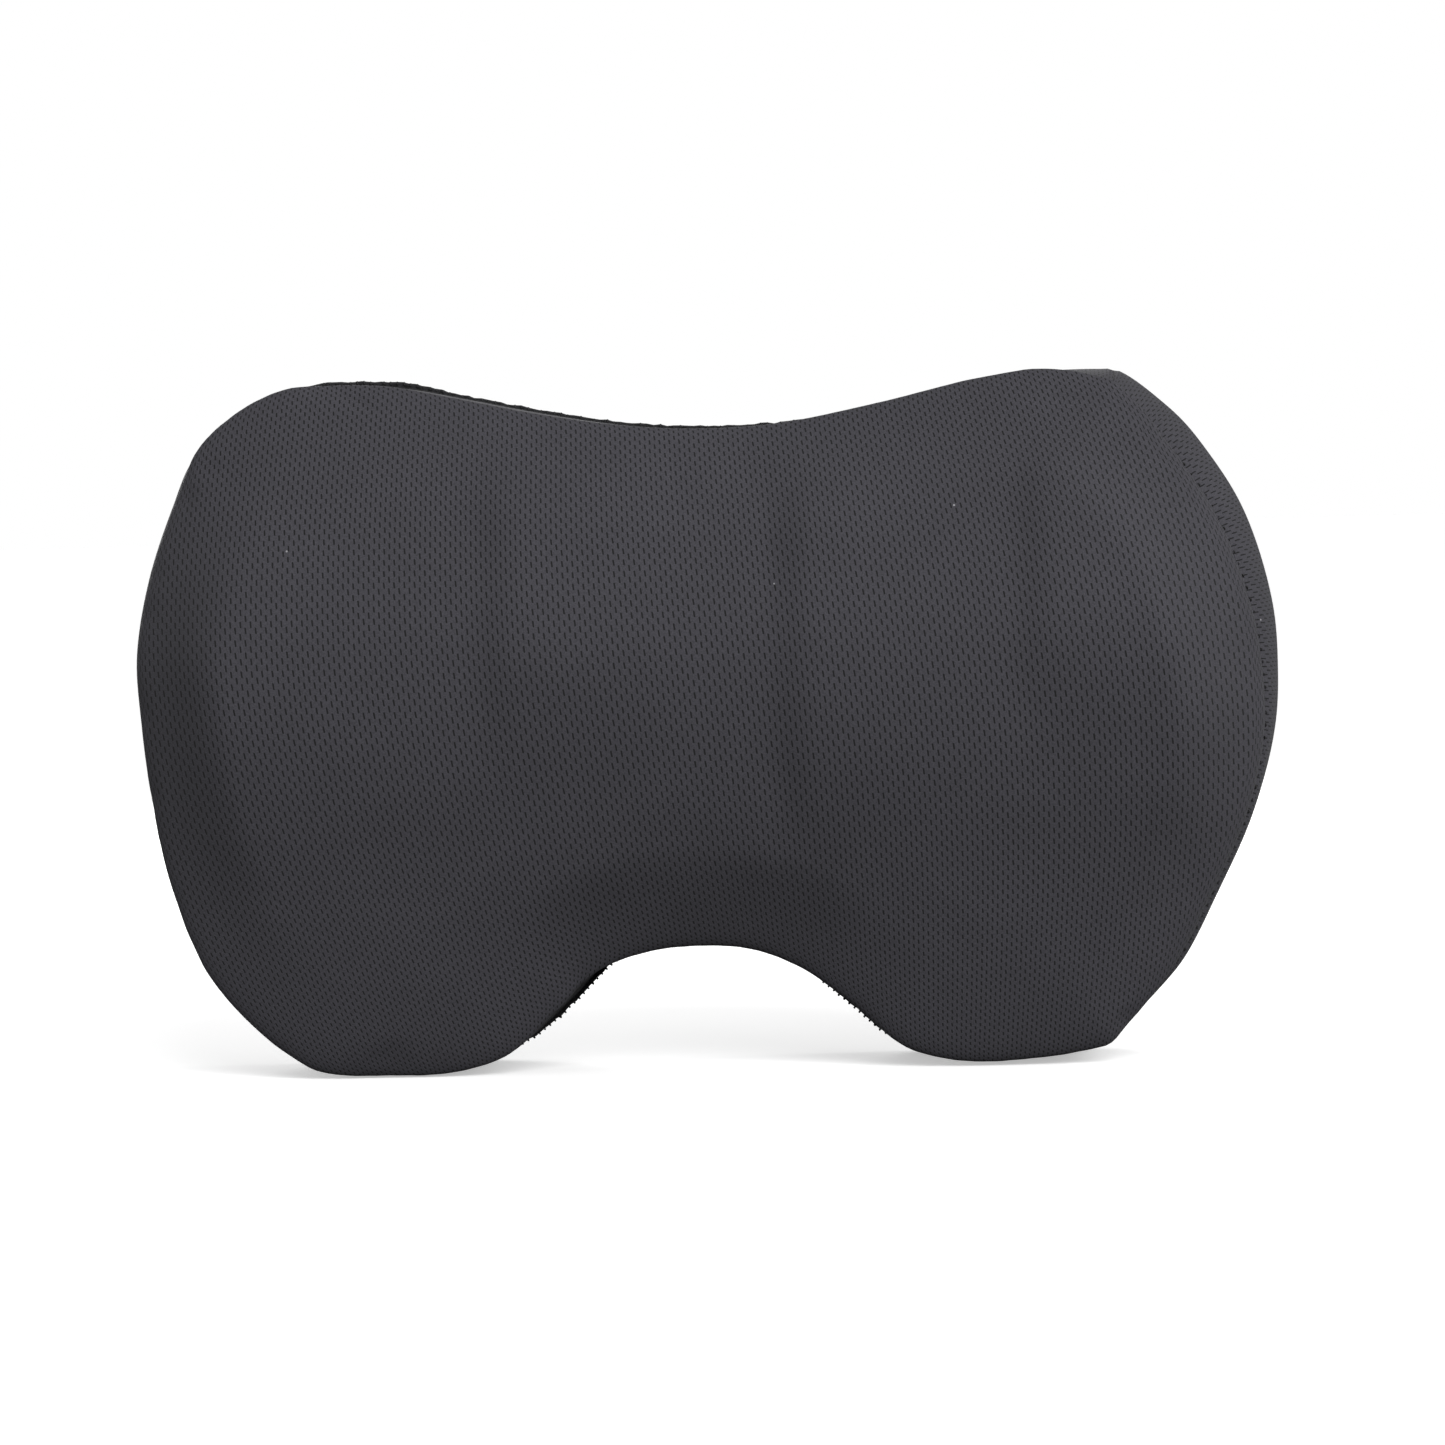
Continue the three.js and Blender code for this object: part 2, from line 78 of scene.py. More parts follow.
class Slot(Enum):
    """The record's material slots."""

    KNIT = "knit"
    MESH = "spacer_mesh"
    FOAM = "foam"
    LINER = "liner"
    ELASTIC = "elastic"
    ZIP_TAPE = "zip_tape"
    ZIP_COIL = "zip_coil"
    ZIP_METAL = "zip_metal"
    ACETAL = "acetal"
    SATIN = "satin"


class Body(Enum):
    """The frame's moving bodies."""

    CUSHION = "cushion"
    SLIDER = "slider"
    PULL_TAB = "pull_tab"
    PLUG = "plug"
    ARM_UPPER = "arm_upper"
    ARM_LOWER = "arm_lower"
    ADJUSTER = "adjuster"


# ---- Node helpers ----------------------------------------------------------------------------------------


def linear(colour: str) -> tuple[float, float, float, float]:
    """Turns an sRGB hex colour to linear.

    Args:
        colour: Six hex digits.

    Returns:
        Linear red, green and blue, with alpha 1.
    """
    parts = [int(colour[i : i + 2], 16) / 255 for i in (0, 2, 4)]
    return (*(p / 12.92 if p <= 0.04045 else ((p + 0.055) / 1.055) ** 2.4 for p in parts), 1.0)


def add_node(
    tree: Tree, kind: str, inputs: dict | None = None, output: int | str = 0, **settings: object
) -> Socket | None:
    """Adds a node with its settings, values and links.

    Args:
        tree: The tree it goes in.
        kind: The node's type name.
        inputs: Input name or number to a value, or to the socket that feeds it.
        output: The output to give back.
        **settings: The node's own properties.

    Returns:
        The output asked for, or None where the node has no outputs.
    """
    node = tree.nodes.new(kind)
    for name, value in settings.items():
        setattr(node, name, value)
    for key, value in (inputs or {}).items():
        if isinstance(value, Socket):
            tree.links.new(value, node.inputs[key])
        else:
            node.inputs[key].default_value = value
    return node.outputs[output] if len(node.outputs) else None


def calc(tree: Tree, operation: str, *values: Socket | float) -> Socket:
    """Adds one sum to a tree and gives back its result."""
    return add_node(tree, MATH, dict(enumerate(values)), operation=operation)


# ---- Finishes --------------------------------------------------------------------------------------------


@dataclass(frozen=True)
class Finish:
    """What every finish has: a plain colour, its roughness, its relief and its slot in the record."""

    name: str
    slot: Slot
    colour: str
    roughness: float = 0.9
    sheen: float = 0.0
    metallic: float = 0.0
    relief: float = 0.05 * MM

    def material(self) -> bpy.types.Material:
        """Gives the material, made on its first use."""
        found = bpy.data.materials.get(self.name)
        if found:
            return found
        made = bpy.data.materials.new(self.name)
        made.use_nodes = True
        made.diffuse_color = linear(self.colour)
        tree = made.node_tree
        tree.nodes.clear()
        constants = {
            "Base Color": linear(self.colour), "Roughness": self.roughness, "Metallic": self.metallic,
            "Sheen Weight": self.sheen, "Sheen Roughness": 0.5
        }
        surface = add_node(tree, "ShaderNodeBsdfPrincipled", constants)
        add_node(tree, "ShaderNodeOutputMaterial", {"Surface": surface})
        self.paint(tree, surface.node)
        return made

    def paint(self, tree: Tree, shader: bpy.types.Node) -> None:
        """Adds the finish's own pattern; the plain finish has none."""

    def lay(
        self, tree: Tree, shader: bpy.types.Node, colour: Socket, height: Socket, strength: float
    ) -> None:
        """Links a pattern to the shader.

        Args:
            tree: The material's tree.
            shader: The surface shader.
            colour: The pattern's colour.
            height: Its height, 1 standing for the finish's relief.
            strength: Strength of the relief.
        """
        tree.links.new(colour, shader.inputs["Base Color"])
        raised = {"Height": height, "Strength": strength, "Distance": self.relief}
        bump = add_node(tree, "ShaderNodeBump", raised)
        tree.links.new(bump, shader.inputs["Normal"])


def half_drop_cell(tree: Tree, across: float, along: float) -> tuple[Socket, Socket]:
    """Places a point in its cell of a half-drop repeat, in which every other column is half a cell lower.

    Args:
        tree: The material's tree.
        across: Column pitch in metres.
        along: Row pitch in metres.

    Returns:
        The signed distances in metres from the cell's centre, across and along.
    """
    flat = add_node(tree, "ShaderNodeUVMap", uv_map=UV_MAP)
    parts = add_node(tree, "ShaderNodeSeparateXYZ", {0: flat}).node
    u = calc(tree, "DIVIDE", parts.outputs["X"], across)
    column = calc(tree, "FLOOR", u)
    odd = calc(tree, "FLOORED_MODULO", column, 2.0)
    v = calc(tree, "DIVIDE", parts.outputs["Y"], along)
    dropped = calc(tree, "MULTIPLY_ADD", odd, 0.5, v)
    found = []
    for value, pitch in ((u, across), (dropped, along)):
        share = calc(tree, "FRACT", value)
        centred = calc(tree, "SUBTRACT", share, 0.5)
        found.append(calc(tree, "MULTIPLY", centred, pitch))
    return found[0], found[1]


def slot_mask(tree: Tree, x: Socket, y: Socket, width: float, length: float) -> Socket:
    """Draws a soft-edged slot with round ends, centred in its cell.

    Args:
        tree: The material's tree.
        x: Distance across the slot.
        y: Distance along the slot.
        width: The slot's width in metres.
        length: The slot's length in metres.

    Returns:
        1 inside the slot, falling to 0 outside it.
    """
    far = calc(tree, "ABSOLUTE", y)
    past = calc(tree, "SUBTRACT", far, (length - width) / 2)
    beyond = calc(tree, "MAXIMUM", past, 0.0)
    point = add_node(tree, "ShaderNodeCombineXYZ", {0: x, 1: beyond})
    away = add_node(tree, "ShaderNodeVectorMath", {0: point}, output="Value", operation="LENGTH")
    edges = {"Value": away, 1: width * 0.32, 2: width * 0.6, 3: 1.0, 4: 0.0}
    return add_node(tree, "ShaderNodeMapRange", edges, interpolation_type="SMOOTHSTEP")


def object_noise(
    tree: Tree, size: float, detail: float = 3.0, stretch: Sequence[float] = (1, 1, 1)
) -> Socket:
    """Gives a noise of a real size on the piece's own coordinates.

    Args:
        tree: The material's tree.
        size: Size of its patches in metres.
        detail: How many finer layers it has.
        stretch: Scale along each axis.

    Returns:
        The noise, about 0.5.
    """
    place = add_node(tree, "ShaderNodeTexCoord", output="Object")
    scaled = add_node(tree, "ShaderNodeMapping", {"Vector": place, "Scale": tuple(stretch)})
    return add_node(tree, "ShaderNodeTexNoise", {"Vector": scaled, "Scale": 1 / size, "Detail": detail})


def mix_colours(tree: Tree, factor: Socket | float, first: Socket | str, second: Socket | str) -> Socket:
    """Mixes two colours, each a socket or a hex colour.

    Args:
        tree: The material's tree.
        factor: Share of the second colour.
        first: The colour at 0.
        second: The colour at 1.

    Returns:
        The mixed colour.
    """
    pair = [linear(c) if isinstance(c, str) else c for c in (first, second)]
    mixing = {"Factor": factor, 6: pair[0], 7: pair[1]}
    return add_node(tree, "ShaderNodeMix", mixing, output=2, data_type="RGBA")


@dataclass(frozen=True)
class EyeletKnit(Finish):
    """Polyester warp knit with a half-drop of narrow eyelets: matt charcoal, with painted shade darkening
    each eyelet hole.
    """

    # The colour of the painted shade inside each eyelet hole.
    eyelet: str = "0d0d0f"
    across: float = 1.7 * MM
    along: float = 4.15 * MM
    eyelet_width: float = 0.6 * MM
    eyelet_length: float = 2.3 * MM
    lean: float = 0.1
    relief: float = 0.25 * MM
    fleck: str = "a9a8ab"
    fleck_spacing: float = 22 * MM
    yarn: float = 0.45 * MM
    cloud: float = 30 * MM

    def paint(self, tree: Tree, shader: bpy.types.Node) -> None:
        """Lays the leaning eyelets with painted shade in each hole, the yarn's melange and a few lint flecks.
        """
        x, y = half_drop_cell(tree, self.across, self.along)
        leaning = calc(tree, "MULTIPLY_ADD", y, self.lean, x)
        hole = slot_mask(tree, leaning, y, self.eyelet_width, self.eyelet_length)
        melange = object_noise(tree, self.yarn, 2.0)
        cloud = object_noise(tree, self.cloud, 2.0)
        mottled = add_node(tree, "ShaderNodeMapRange", {"Value": melange, 1: 0.3, 2: 0.7, 3: 0.74, 4: 1.26})
        faded = add_node(tree, "ShaderNodeMapRange", {"Value": cloud, 1: 0.3, 2: 0.7, 3: 0.96, 4: 1.04})
        shade = calc(tree, "MULTIPLY", mottled, faded)
        plain = {"Hue": 0.5, "Saturation": 1.0, "Value": shade, "Color": linear(self.colour)}
        yarn = add_node(tree, "ShaderNodeHueSaturation", plain)
        # Painted shade: each eyelet hole is darkened to the eyelet colour, besides being sunk in the relief.
        shaded_eyelets = mix_colours(tree, hole, yarn, self.eyelet)
        place = add_node(tree, "ShaderNodeTexCoord", output="Object")
        spacing = {"Vector": place, "Scale": 1 / self.fleck_spacing}
        cells = add_node(tree, "ShaderNodeTexVoronoi", spacing, output="Distance")
        specks = add_node(tree, "ShaderNodeMapRange", {"Value": cells, 1: 0.012, 2: 0.02, 3: 0.75, 4: 0.0})
        rough = calc(tree, "MULTIPLY_ADD", hole, -0.6, melange)
        self.lay(tree, shader, mix_colours(tree, specks, shaded_eyelets, self.fleck), rough, 0.6)


@dataclass(frozen=True)
class SpacerMesh(Finish):
    """Black polyester spacer mesh: round open cells in a hexagonal lay, with painted shade over the inner
    face seen through each cell.
    """

    # The colour of the painted shade seen through each open cell.
    cell: str = "050506"
    strand: str = "26262a"
    across: float = 2.3 * MM
    along: float = 4.0 * MM
    hole: float = 1.5 * MM
    fuzz: float = 0.4 * MM
    relief: float = 0.6 * MM

    def paint(self, tree: Tree, shader: bpy.types.Node) -> None:
        """Lays the open cells, darkened as painted shade, and the fuzzy strands between them."""
        x, y = half_drop_cell(tree, self.across, self.along)
        hole = slot_mask(tree, x, y, self.hole, self.hole * 1.25)
        fuzz = object_noise(tree, self.fuzz, 3.0)
        strands = mix_colours(tree, fuzz, self.colour, self.strand)
        sunk = calc(tree, "MULTIPLY_ADD", hole, -1.0, fuzz)
        # Painted shade: each open cell is darkened to the cell colour, besides being sunk in the relief.
        self.lay(tree, shader, mix_colours(tree, hole, strands, self.cell), sunk, 0.9)


@dataclass(frozen=True)
class RibbedWeave(Finish):
    """Woven narrow fabric, such as elastic webbing or zip tape: ribs along it, crossed by fine picks."""

    # The colour of the painted highlight on each rib's crest.
    light: str = "333337"
    rib: float = 1.2 * MM
    pick: float = 0.9 * MM
    fuzz: float = 0.6 * MM
    relief: float = 0.25 * MM

    def paint(self, tree: Tree, shader: bpy.types.Node) -> None:
        """Weaves ribs over picks, with a painted highlight that lightens each rib's crest, broken by the
        yarn's small colour changes.
        """
        x, y = half_drop_cell(tree, self.rib, self.pick)
        heights = []
        for distance, pitch in ((x, self.rib), (y, self.pick)):
            turns = calc(tree, "MULTIPLY", distance, math.tau / pitch)
            heights.append(calc(tree, "COSINE", turns))
        woven = calc(tree, "MULTIPLY_ADD", heights[1], 0.6, heights[0])
        share = add_node(tree, "ShaderNodeMapRange", {"Value": woven, 1: -1.2, 2: 1.6, 3: 0.0, 4: 1.0})
        fuzz = object_noise(tree, self.fuzz, 3.0)
        # Painted highlight: the colour lightens with the weave's height, so each rib's crest is lit in paint.
        lit = calc(tree, "MULTIPLY", share, fuzz)
        self.lay(tree, shader, mix_colours(tree, lit, self.colour, self.light), share, 0.8)


@dataclass(frozen=True)
class Grained(Finish):
    """A moulded, cast, foamed or knitted surface with an even grain: plastic, zinc, foam or jersey."""

    light: str = "ffffff"
    grain: float = 0.35 * MM
    spread: float = 0.06
    cloud: float = 12 * MM
    stretch: tuple[float, float, float] = (1, 1, 1)

    def paint(self, tree: Tree, shader: bpy.types.Node) -> None:
        """Adds the grain to the colour, the roughness and the relief."""
        grain = object_noise(tree, self.grain, 4.0, self.stretch)
        cloud = object_noise(tree, self.cloud, 2.0)
        least, most = self.roughness - self.spread, self.roughness + self.spread
        worn = {"Value": cloud, 1: 0.3, 2: 0.7, 3: least, 4: most}
        tree.links.new(add_node(tree, "ShaderNodeMapRange", worn), shader.inputs["Roughness"])
        self.lay(tree, shader, mix_colours(tree, grain, self.colour, self.light), grain, 0.6)


# Polyester eyelet knit, bonded to wadding: matt, slightly blue charcoal, with a faint sheen.
KNIT = EyeletKnit("polyester eyelet knit", Slot.KNIT, "3d3c42", roughness=0.9, sheen=0.05)
# Polyester spacer mesh: black, open and very matt.
MESH = SpacerMesh("polyester spacer mesh", Slot.MESH, "111113", roughness=0.92, sheen=0.08)
# Covered-rubber elastic webbing: black, ribbed along its length, with a painted highlight on each rib's
# crest.
ELASTIC = RibbedWeave("woven elastic webbing", Slot.ELASTIC, "131315", roughness=0.8, sheen=0.1)
# Woven polyester zip tape: black, finer than the webbing, with a painted highlight on each rib's crest.
ZIP_TAPE = RibbedWeave("woven zip tape", Slot.ZIP_TAPE, "141416", light="2c2c30", rib=0.8 * MM, pick=0.6 * MM)
# Extruded nylon coil: black and slightly shiny.
COIL = Grained("nylon coil", Slot.ZIP_COIL, "0d0d0f", roughness=0.42, light="1a1a1d", grain=0.8 * MM)
# Die-cast zinc with a black coating: dark grey metal that shines on its edges.
DIE_CAST = Grained(
    "black coated zinc", Slot.ZIP_METAL, "26262a", roughness=0.34, metallic=0.85, light="3a3a3f",
    grain=0.5 * MM
)
# Moulded acetal with a fine spark-eroded texture: black, satin.
ACETAL = Grained("moulded acetal", Slot.ACETAL, "0e0e10", roughness=0.4, light="1c1c1f", grain=0.3 * MM)
# Moulded polyurethane foam: cream, with open pores.
FOAM = Grained(
    "polyurethane foam", Slot.FOAM, "e6dfca", roughness=0.95, light="cbbf9f", grain=1.2 * MM, relief=0.4 * MM
)
# Thin stretch jersey: off-white, ribbed upwards.
JERSEY = Grained(
    "stretch jersey", Slot.LINER, "dcdcd8", roughness=0.9, light="c4c4c0", relief=0.1 * MM, stretch=(4, 4, 1)
)
# Woven satin: white, blank, with a soft shine across its picks.
SATIN = Grained(
    "woven satin", Slot.SATIN, "e9e8e4", roughness=0.55, sheen=0.2, light="d6d5d1", stretch=(1, 1, 6)
)
# Spun polyester thread: black, with a dull lustre, for every seam.
BLACK_THREAD = Grained("black thread", Slot.ELASTIC, "0b0b0c", roughness=0.7, light="1e1e20", grain=0.4 * MM)


# ---- Mesh helpers ----------------------------------------------------------------------------------------


def make_object(
    name: str, points: np.ndarray, faces: Sequence[Sequence[int]], uv: np.ndarray | None = None,
    sharp: float = 40.0
) -> Piece:
    """Makes a smooth-shaded mesh object at the origin.

    Args:
        name: The piece's name.
        points: Its points, in metres.
        faces: Point numbers of each face.
        uv: A flat place for each point, in metres.
        sharp: Edges that turn by more than this many degrees stay sharp.

    Returns:
        The new object.
    """
    mesh = bpy.data.meshes.new(name)
    mesh.from_pydata([tuple(p) for p in points], [], [tuple(f) for f in faces])
    if uv is not None:
        layer = mesh.uv_layers.new(name=UV_MAP)
        corners = np.empty(len(mesh.loops), np.int32)
        mesh.loops.foreach_get("vertex_index", corners)
        layer.data.foreach_set("uv", uv[corners].astype(np.float32).ravel())
    mesh.validate()
    mesh.shade_smooth()
    mesh.set_sharp_from_angle(angle=math.radians(sharp))
    return linked(name, mesh)


def linked(name: str, data: bpy.types.ID) -> Piece:
    """Puts a mesh, lamp or lens in the scene as an object."""
    made = bpy.data.objects.new(name, data)
    bpy.context.scene.collection.objects.link(made)
    return made


def grid_faces(rows: int, columns: int, closed: bool) -> list[tuple[int, int, int, int]]:
    """Lists the faces of a grid of points kept row by row.

    Args:
        rows: Rows of points.
        columns: Points in each row.
        closed: Whether each row joins its own start.

    Returns:
        Four point numbers for each face.
    """
    last = columns if closed else columns - 1
    faces = []
    for r in range(rows - 1):
        for c in range(last):
            n = (c + 1) % columns
            faces.append((r * columns + c, (r + 1) * columns + c, (r + 1) * columns + n, r * columns + n))
    return faces


def cap_faces(first: int, count: int, tip: int) -> list[tuple[int, int, int]]:
    """Closes a ring of points with a fan, facing the same way as the grid that ends in it.

    Args:
        first: Number of the ring's first point.
        count: Points in the ring.
        tip: Number of the point that closes it.

    Returns:
        Three point numbers for each face.
    """
    return [(first + c, tip, first + (c + 1) % count) for c in range(count)]


def dome_faces(rows: int, around: int) -> list[tuple[int, ...]]:
    """Lists the faces of closed rings that end in one more point."""
    return grid_faces(rows, around, True) + cap_faces((rows - 1) * around, around, rows * around)


def closed_body(name: str, rings: np.ndarray, first: Sequence[float], last: Sequence[float]) -> Piece:
    """Makes a closed body of rings with a point at each end.

    Args:
        name: The piece's name.
        rings: Its points by ring.
        first: The point that closes the first ring.
        last: The point that closes the last one.

    Returns:
        The new object.
    """
    count, around = rings.shape[:2]
    faces = dome_faces(count, around) + [face[::-1] for face in cap_faces(0, around, count * around + 1)]
    return make_object(name, np.concatenate([rings.reshape(-1, 3), [last], [first]]), faces)


def at_depth(flat: np.ndarray, y: float | np.ndarray) -> np.ndarray:
    """Puts points given as x and z at a depth."""
    return np.insert(flat, 1, y, axis=1)


def baked(piece: Piece) -> Piece:
    """Replaces a piece's mesh by what its modifiers make of it, and removes them.

    Args:
        piece: The object to settle.

    Returns:
        The same object.
    """
    graph = bpy.context.evaluated_depsgraph_get()
    mesh = bpy.data.meshes.new_from_object(piece.evaluated_get(graph), depsgraph=graph)
    mesh.name = piece.name
    piece.modifiers.clear()
    piece.data = mesh
    return piece


def thickened(piece: Piece, thickness: float) -> Piece:
    """Gives a skin a closed body of the given thickness behind its face."""
    solidify = piece.modifiers.new("body", "SOLIDIFY")
    solidify.thickness = thickness
    solidify.offset = -1.0
    solidify.use_even_offset = False
    return baked(piece)


def hand_over(
    piece: Piece, body: Body, finish: Finish, *nodes: str, slot: Slot | None = None,
    root: tuple[Body, Vector, Vector] | None = None
) -> Piece:
    """Dresses a finished piece and puts it on its body, or, where a root is given, bakes it in place instead.

    Args:
        piece: The finished piece.
        body: The body it moves with.
        finish: Its finish.
        *nodes: The frame's nodes that it stands for.
        slot: The record's slot, where it isn't the finish's own; not used.
        root: Where it is given, the piece is baked in place and not put on its body; the body and points in
            it are not read.

    Returns:
        The same piece.
    """
    piece.data.materials.clear()
    piece.data.materials.append(finish.material())
    if root:
        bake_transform(piece)
    else:
        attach(piece, body.value)
    if nodes:
        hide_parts(*nodes)
    LOG.info("%s: %d faces, on %s, in %s", piece.name, len(piece.data.polygons), body.value, finish.name)
    return piece


def ripple(along: np.ndarray, wavelength: float, seed: int, parts: int = 5) -> np.ndarray:
    """Gives an uneven wave along a line, repeatable and of about unit height.

    Args:
        along: Places along the line, in metres.
        wavelength: The middle wavelength, in metres.
        seed: Which wave.
        parts: How many sines it is the sum of.

    Returns:
        The wave's height at each place.
    """
    rng = np.random.default_rng(seed)
    total = np.zeros_like(along)
    for _ in range(parts):
        length = wavelength * rng.uniform(0.55, 1.8)
        total += np.sin(math.tau * along / length + rng.uniform(0, math.tau))
    return total / math.sqrt(parts)


# ---- Repeats along a path --------------------------------------------------------------------------------


@dataclass
class PathRepeat:
    """Puts one shape again and again along a path, as a machine's stitches or a zip's coil turns are."""

    tree: Tree = field(init=False)
    sockets: dict[str, str] = field(default_factory=dict, init=False)

    def __post_init__(self) -> None:
        """Builds the tree: resample, instance, turn along the path, realize, set material."""
        self.tree = bpy.data.node_groups.new("repeat along path", "GeometryNodeTree")
        face = self.tree.interface
        face.new_socket("Path", in_out="INPUT", socket_type="NodeSocketGeometry")
        for name, kind in (
            ("Shape", "NodeSocketObject"), ("Pitch", "NodeSocketFloat"), ("Unevenness", "NodeSocketFloat"),
            ("Seed", "NodeSocketInt"), ("Finish", "NodeSocketMaterial")
        ):
            self.sockets[name] = face.new_socket(name, in_out="INPUT", socket_type=kind).identifier
        face.new_socket("Pieces", in_out="OUTPUT", socket_type="NodeSocketGeometry")
        given = self.tree.nodes.new("NodeGroupInput").outputs
        tree = self.tree
        curve = add_node(tree, "GeometryNodeMeshToCurve", {"Mesh": given["Path"]})
        spacing = {"Curve": curve, "Length": given["Pitch"]}
        spaced = add_node(tree, "GeometryNodeResampleCurve", spacing, mode="LENGTH")
        shape = add_node(tree, "GeometryNodeObjectInfo", {"Object": given["Shape"]}, output="Geometry")
        tangent = add_node(tree, "GeometryNodeInputTangent")
        named = {"Name": "outward"}
        outward = add_node(tree, "GeometryNodeInputNamedAttribute", named, data_type="FLOAT_VECTOR")
        turn = "FunctionNodeAlignRotationToVector"
        along = add_node(tree, turn, {"Vector": tangent}, axis="X")
        facing = add_node(tree, turn, {"Rotation": along, "Vector": outward}, axis="Z", pivot_axis="X")
        number = add_node(tree, "GeometryNodeInputIndex")
        draw = {2: -1.0, 3: 1.0, "ID": number, "Seed": given["Seed"]}
        few = add_node(tree, "FunctionNodeRandomValue", draw, output=1)
        lean = calc(tree, "MULTIPLY", few, given["Unevenness"])
        spin = add_node(tree, "ShaderNodeCombineXYZ", {"Z": lean})
        twist = add_node(tree, "FunctionNodeEulerToRotation", {0: spin})
        both = {"Rotation": facing, "Rotate By": twist}
        turned = add_node(tree, "FunctionNodeRotateRotation", both, rotation_space="LOCAL")
        size = calc(tree, "ADD", lean, 1.0)
        placing = {"Points": spaced, "Instance": shape, "Rotation": turned, "Scale": size}
        copies = add_node(tree, "GeometryNodeInstanceOnPoints", placing)
        real = add_node(tree, "GeometryNodeRealizeInstances", {"Geometry": copies})
        dressed = add_node(tree, "GeometryNodeSetMaterial", {"Geometry": real, "Material": given["Finish"]})
        add_node(tree, "NodeGroupOutput", {0: dressed})

    def along(
        self, name: str, path: np.ndarray, outward: Sequence[float] | np.ndarray,
        shape: Sequence[Sequence[float]], radius: float, pitch: float, finish: Finish, *nodes: str,
        slot: Slot | None = None, closed: bool = False, ring: bool = False, unevenness: float = 0.0,
        seed: int = 1
    ) -> None:
        """Repeats a thread or wire along one path and hands the plain mesh over on the cushion.

        Args:
            name: The piece's name.
            path: Points of the path.
            outward: The direction that each copy's +Z faces, one for all or one for each point.
            shape: Centre line of what is repeated, lying along +X.
            radius: Its radius.
            pitch: Distance between copies.
            finish: Their finish.
            *nodes: The frame's nodes that they stand for.
            slot: The record's slot, where it isn't the finish's own.
            closed: Whether the path joins its start.
            ring: Whether the shape joins its start.
            unevenness: Greatest random change of size and turn.
            seed: Seed of that change.
        """
        line = np.array(shape, float)
        part = recalculated(make_object("repeated", *tube(line, radius, closed=ring), sharp=80))
        count = len(path)
        mesh = bpy.data.meshes.new(name)
        edges = [(i, i + 1) for i in range(count - 1)] + ([(count - 1, 0)] if closed else [])
        mesh.from_pydata([tuple(p) for p in path], edges, [])
        facing = mesh.attributes.new("outward", "FLOAT_VECTOR", "POINT")
        facing.data.foreach_set("vector", np.broadcast_to(outward, (count, 3)).astype(np.float32).ravel())
        piece = linked(name, mesh)
        modifier = piece.modifiers.new("repeat", "NODES")
        modifier.node_group = self.tree
        values = {
            "Shape": part, "Pitch": pitch, "Unevenness": unevenness, "Seed": seed, "Finish": finish.material()
        }
        for key, value in values.items():
            modifier[self.sockets[key]] = value
        baked(piece)
        piece.data.shade_smooth()
        bpy.data.objects.remove(part)
        hand_over(piece, Body.CUSHION, finish, *nodes, slot=slot)


def stitch(length: float, sag: float = 0.2 * MM, lift: float = 0.1 * MM) -> list[tuple[float, float, float]]:
    """Gives the centre line of one stitch: level on top, with its ends sunk into the cloth."""
    half = length / 2
    return [(-half, 0, -sag), (-half / 2, 0, lift), (half / 2, 0, lift), (half, 0, -sag)]


def tube(path: np.ndarray, radius: float, sides: int = 6, closed: bool = False) -> tuple[np.ndarray, list]:
    """Sweeps a round section along a path, with its ends closed.

    Args:
        path: Points of the path.
        radius: The tube's radius.
        sides: Sides of its section.
        closed: Whether the path joins its start.

    Returns:
        Points and faces.
    """
    path = np.asarray(path, float)
    if closed:
        tangent = np.roll(path, -1, 0) - np.roll(path, 1, 0)
    else:
        tangent = np.gradient(path, axis=0)
    tangent /= np.linalg.norm(tangent, axis=1, keepdims=True)
    side = np.cross(tangent[0], (0.0, 0.0, 1.0))
    if np.linalg.norm(side) < 0.1:
        side = np.cross(tangent[0], (0.0, 1.0, 0.0))
    rings = []
    for point, ahead in zip(path, tangent):
        side = side - (side @ ahead) * ahead
        side /= np.linalg.norm(side)
        other = np.cross(ahead, side)
        angles = math.tau * np.arange(sides) / sides
        rings.append(point + radius * (np.outer(np.cos(angles), side) + np.outer(np.sin(angles), other)))
    count = len(path)
    faces = grid_faces(count, sides, True)
    if closed:
        faces += [
            ((count - 1) * sides + c, (count - 1) * sides + (c + 1) % sides, (c + 1) % sides, c)
            for c in range(sides)
        ]
    else:
        faces += [tuple(range(sides))[::-1], tuple((count - 1) * sides + c for c in range(sides))]
    return np.concatenate(rings), faces


def recalculated(piece: Piece) -> Piece:
    """Turns a closed piece's faces outwards."""
    work = bmesh.new()
    work.from_mesh(piece.data)
    bmesh.ops.remove_doubles(work, verts=work.verts, dist=1e-7)
    bmesh.ops.recalc_face_normals(work, faces=work.faces)
    work.to_mesh(piece.data)
    work.free()
    return piece


# ---- The cushion's form ----------------------------------------------------------------------------------

# Halves of the largest outline in millimetres from the middle, each from the top waist, over the upper lobe,
# round the lower lobe's corner and down into the arch. The two sides settle a little differently.
RIGHT_HALF = (
    (28, 215), (62, 221), (95, 228), (116, 231), (136, 231.5), (142, 231), (157.5, 219.5), (170, 204),
    (183, 181.5), (191.5, 152), (193, 131), (191.5, 109), (183.5, 81), (171.2, 54.8), (158, 30.5),
    (143.5, 13.8), (135, 5.5), (130, 4), (104, 1), (85, 1), (66, 6), (48, 21), (32, 33), (16, 39.5)
)
LEFT_HALF = (
    (25, 216), (52, 220.5), (80, 226.5), (100, 230.5), (116, 231.5), (135, 231.5), (153, 224.5),
    (167.8, 211.5), (176.4, 193.3), (185.3, 168), (190, 142), (189, 120), (186.5, 98), (180.3, 66.5),
    (168.8, 36.5), (153, 17), (136.5, 4.5), (128, 1), (106, 0), (85, 0.5), (66, 6), (49, 20.5), (35, 33.5),
    (18, 39.5)
)
TOP_WAIST = 214
ARCH_TOP = 41


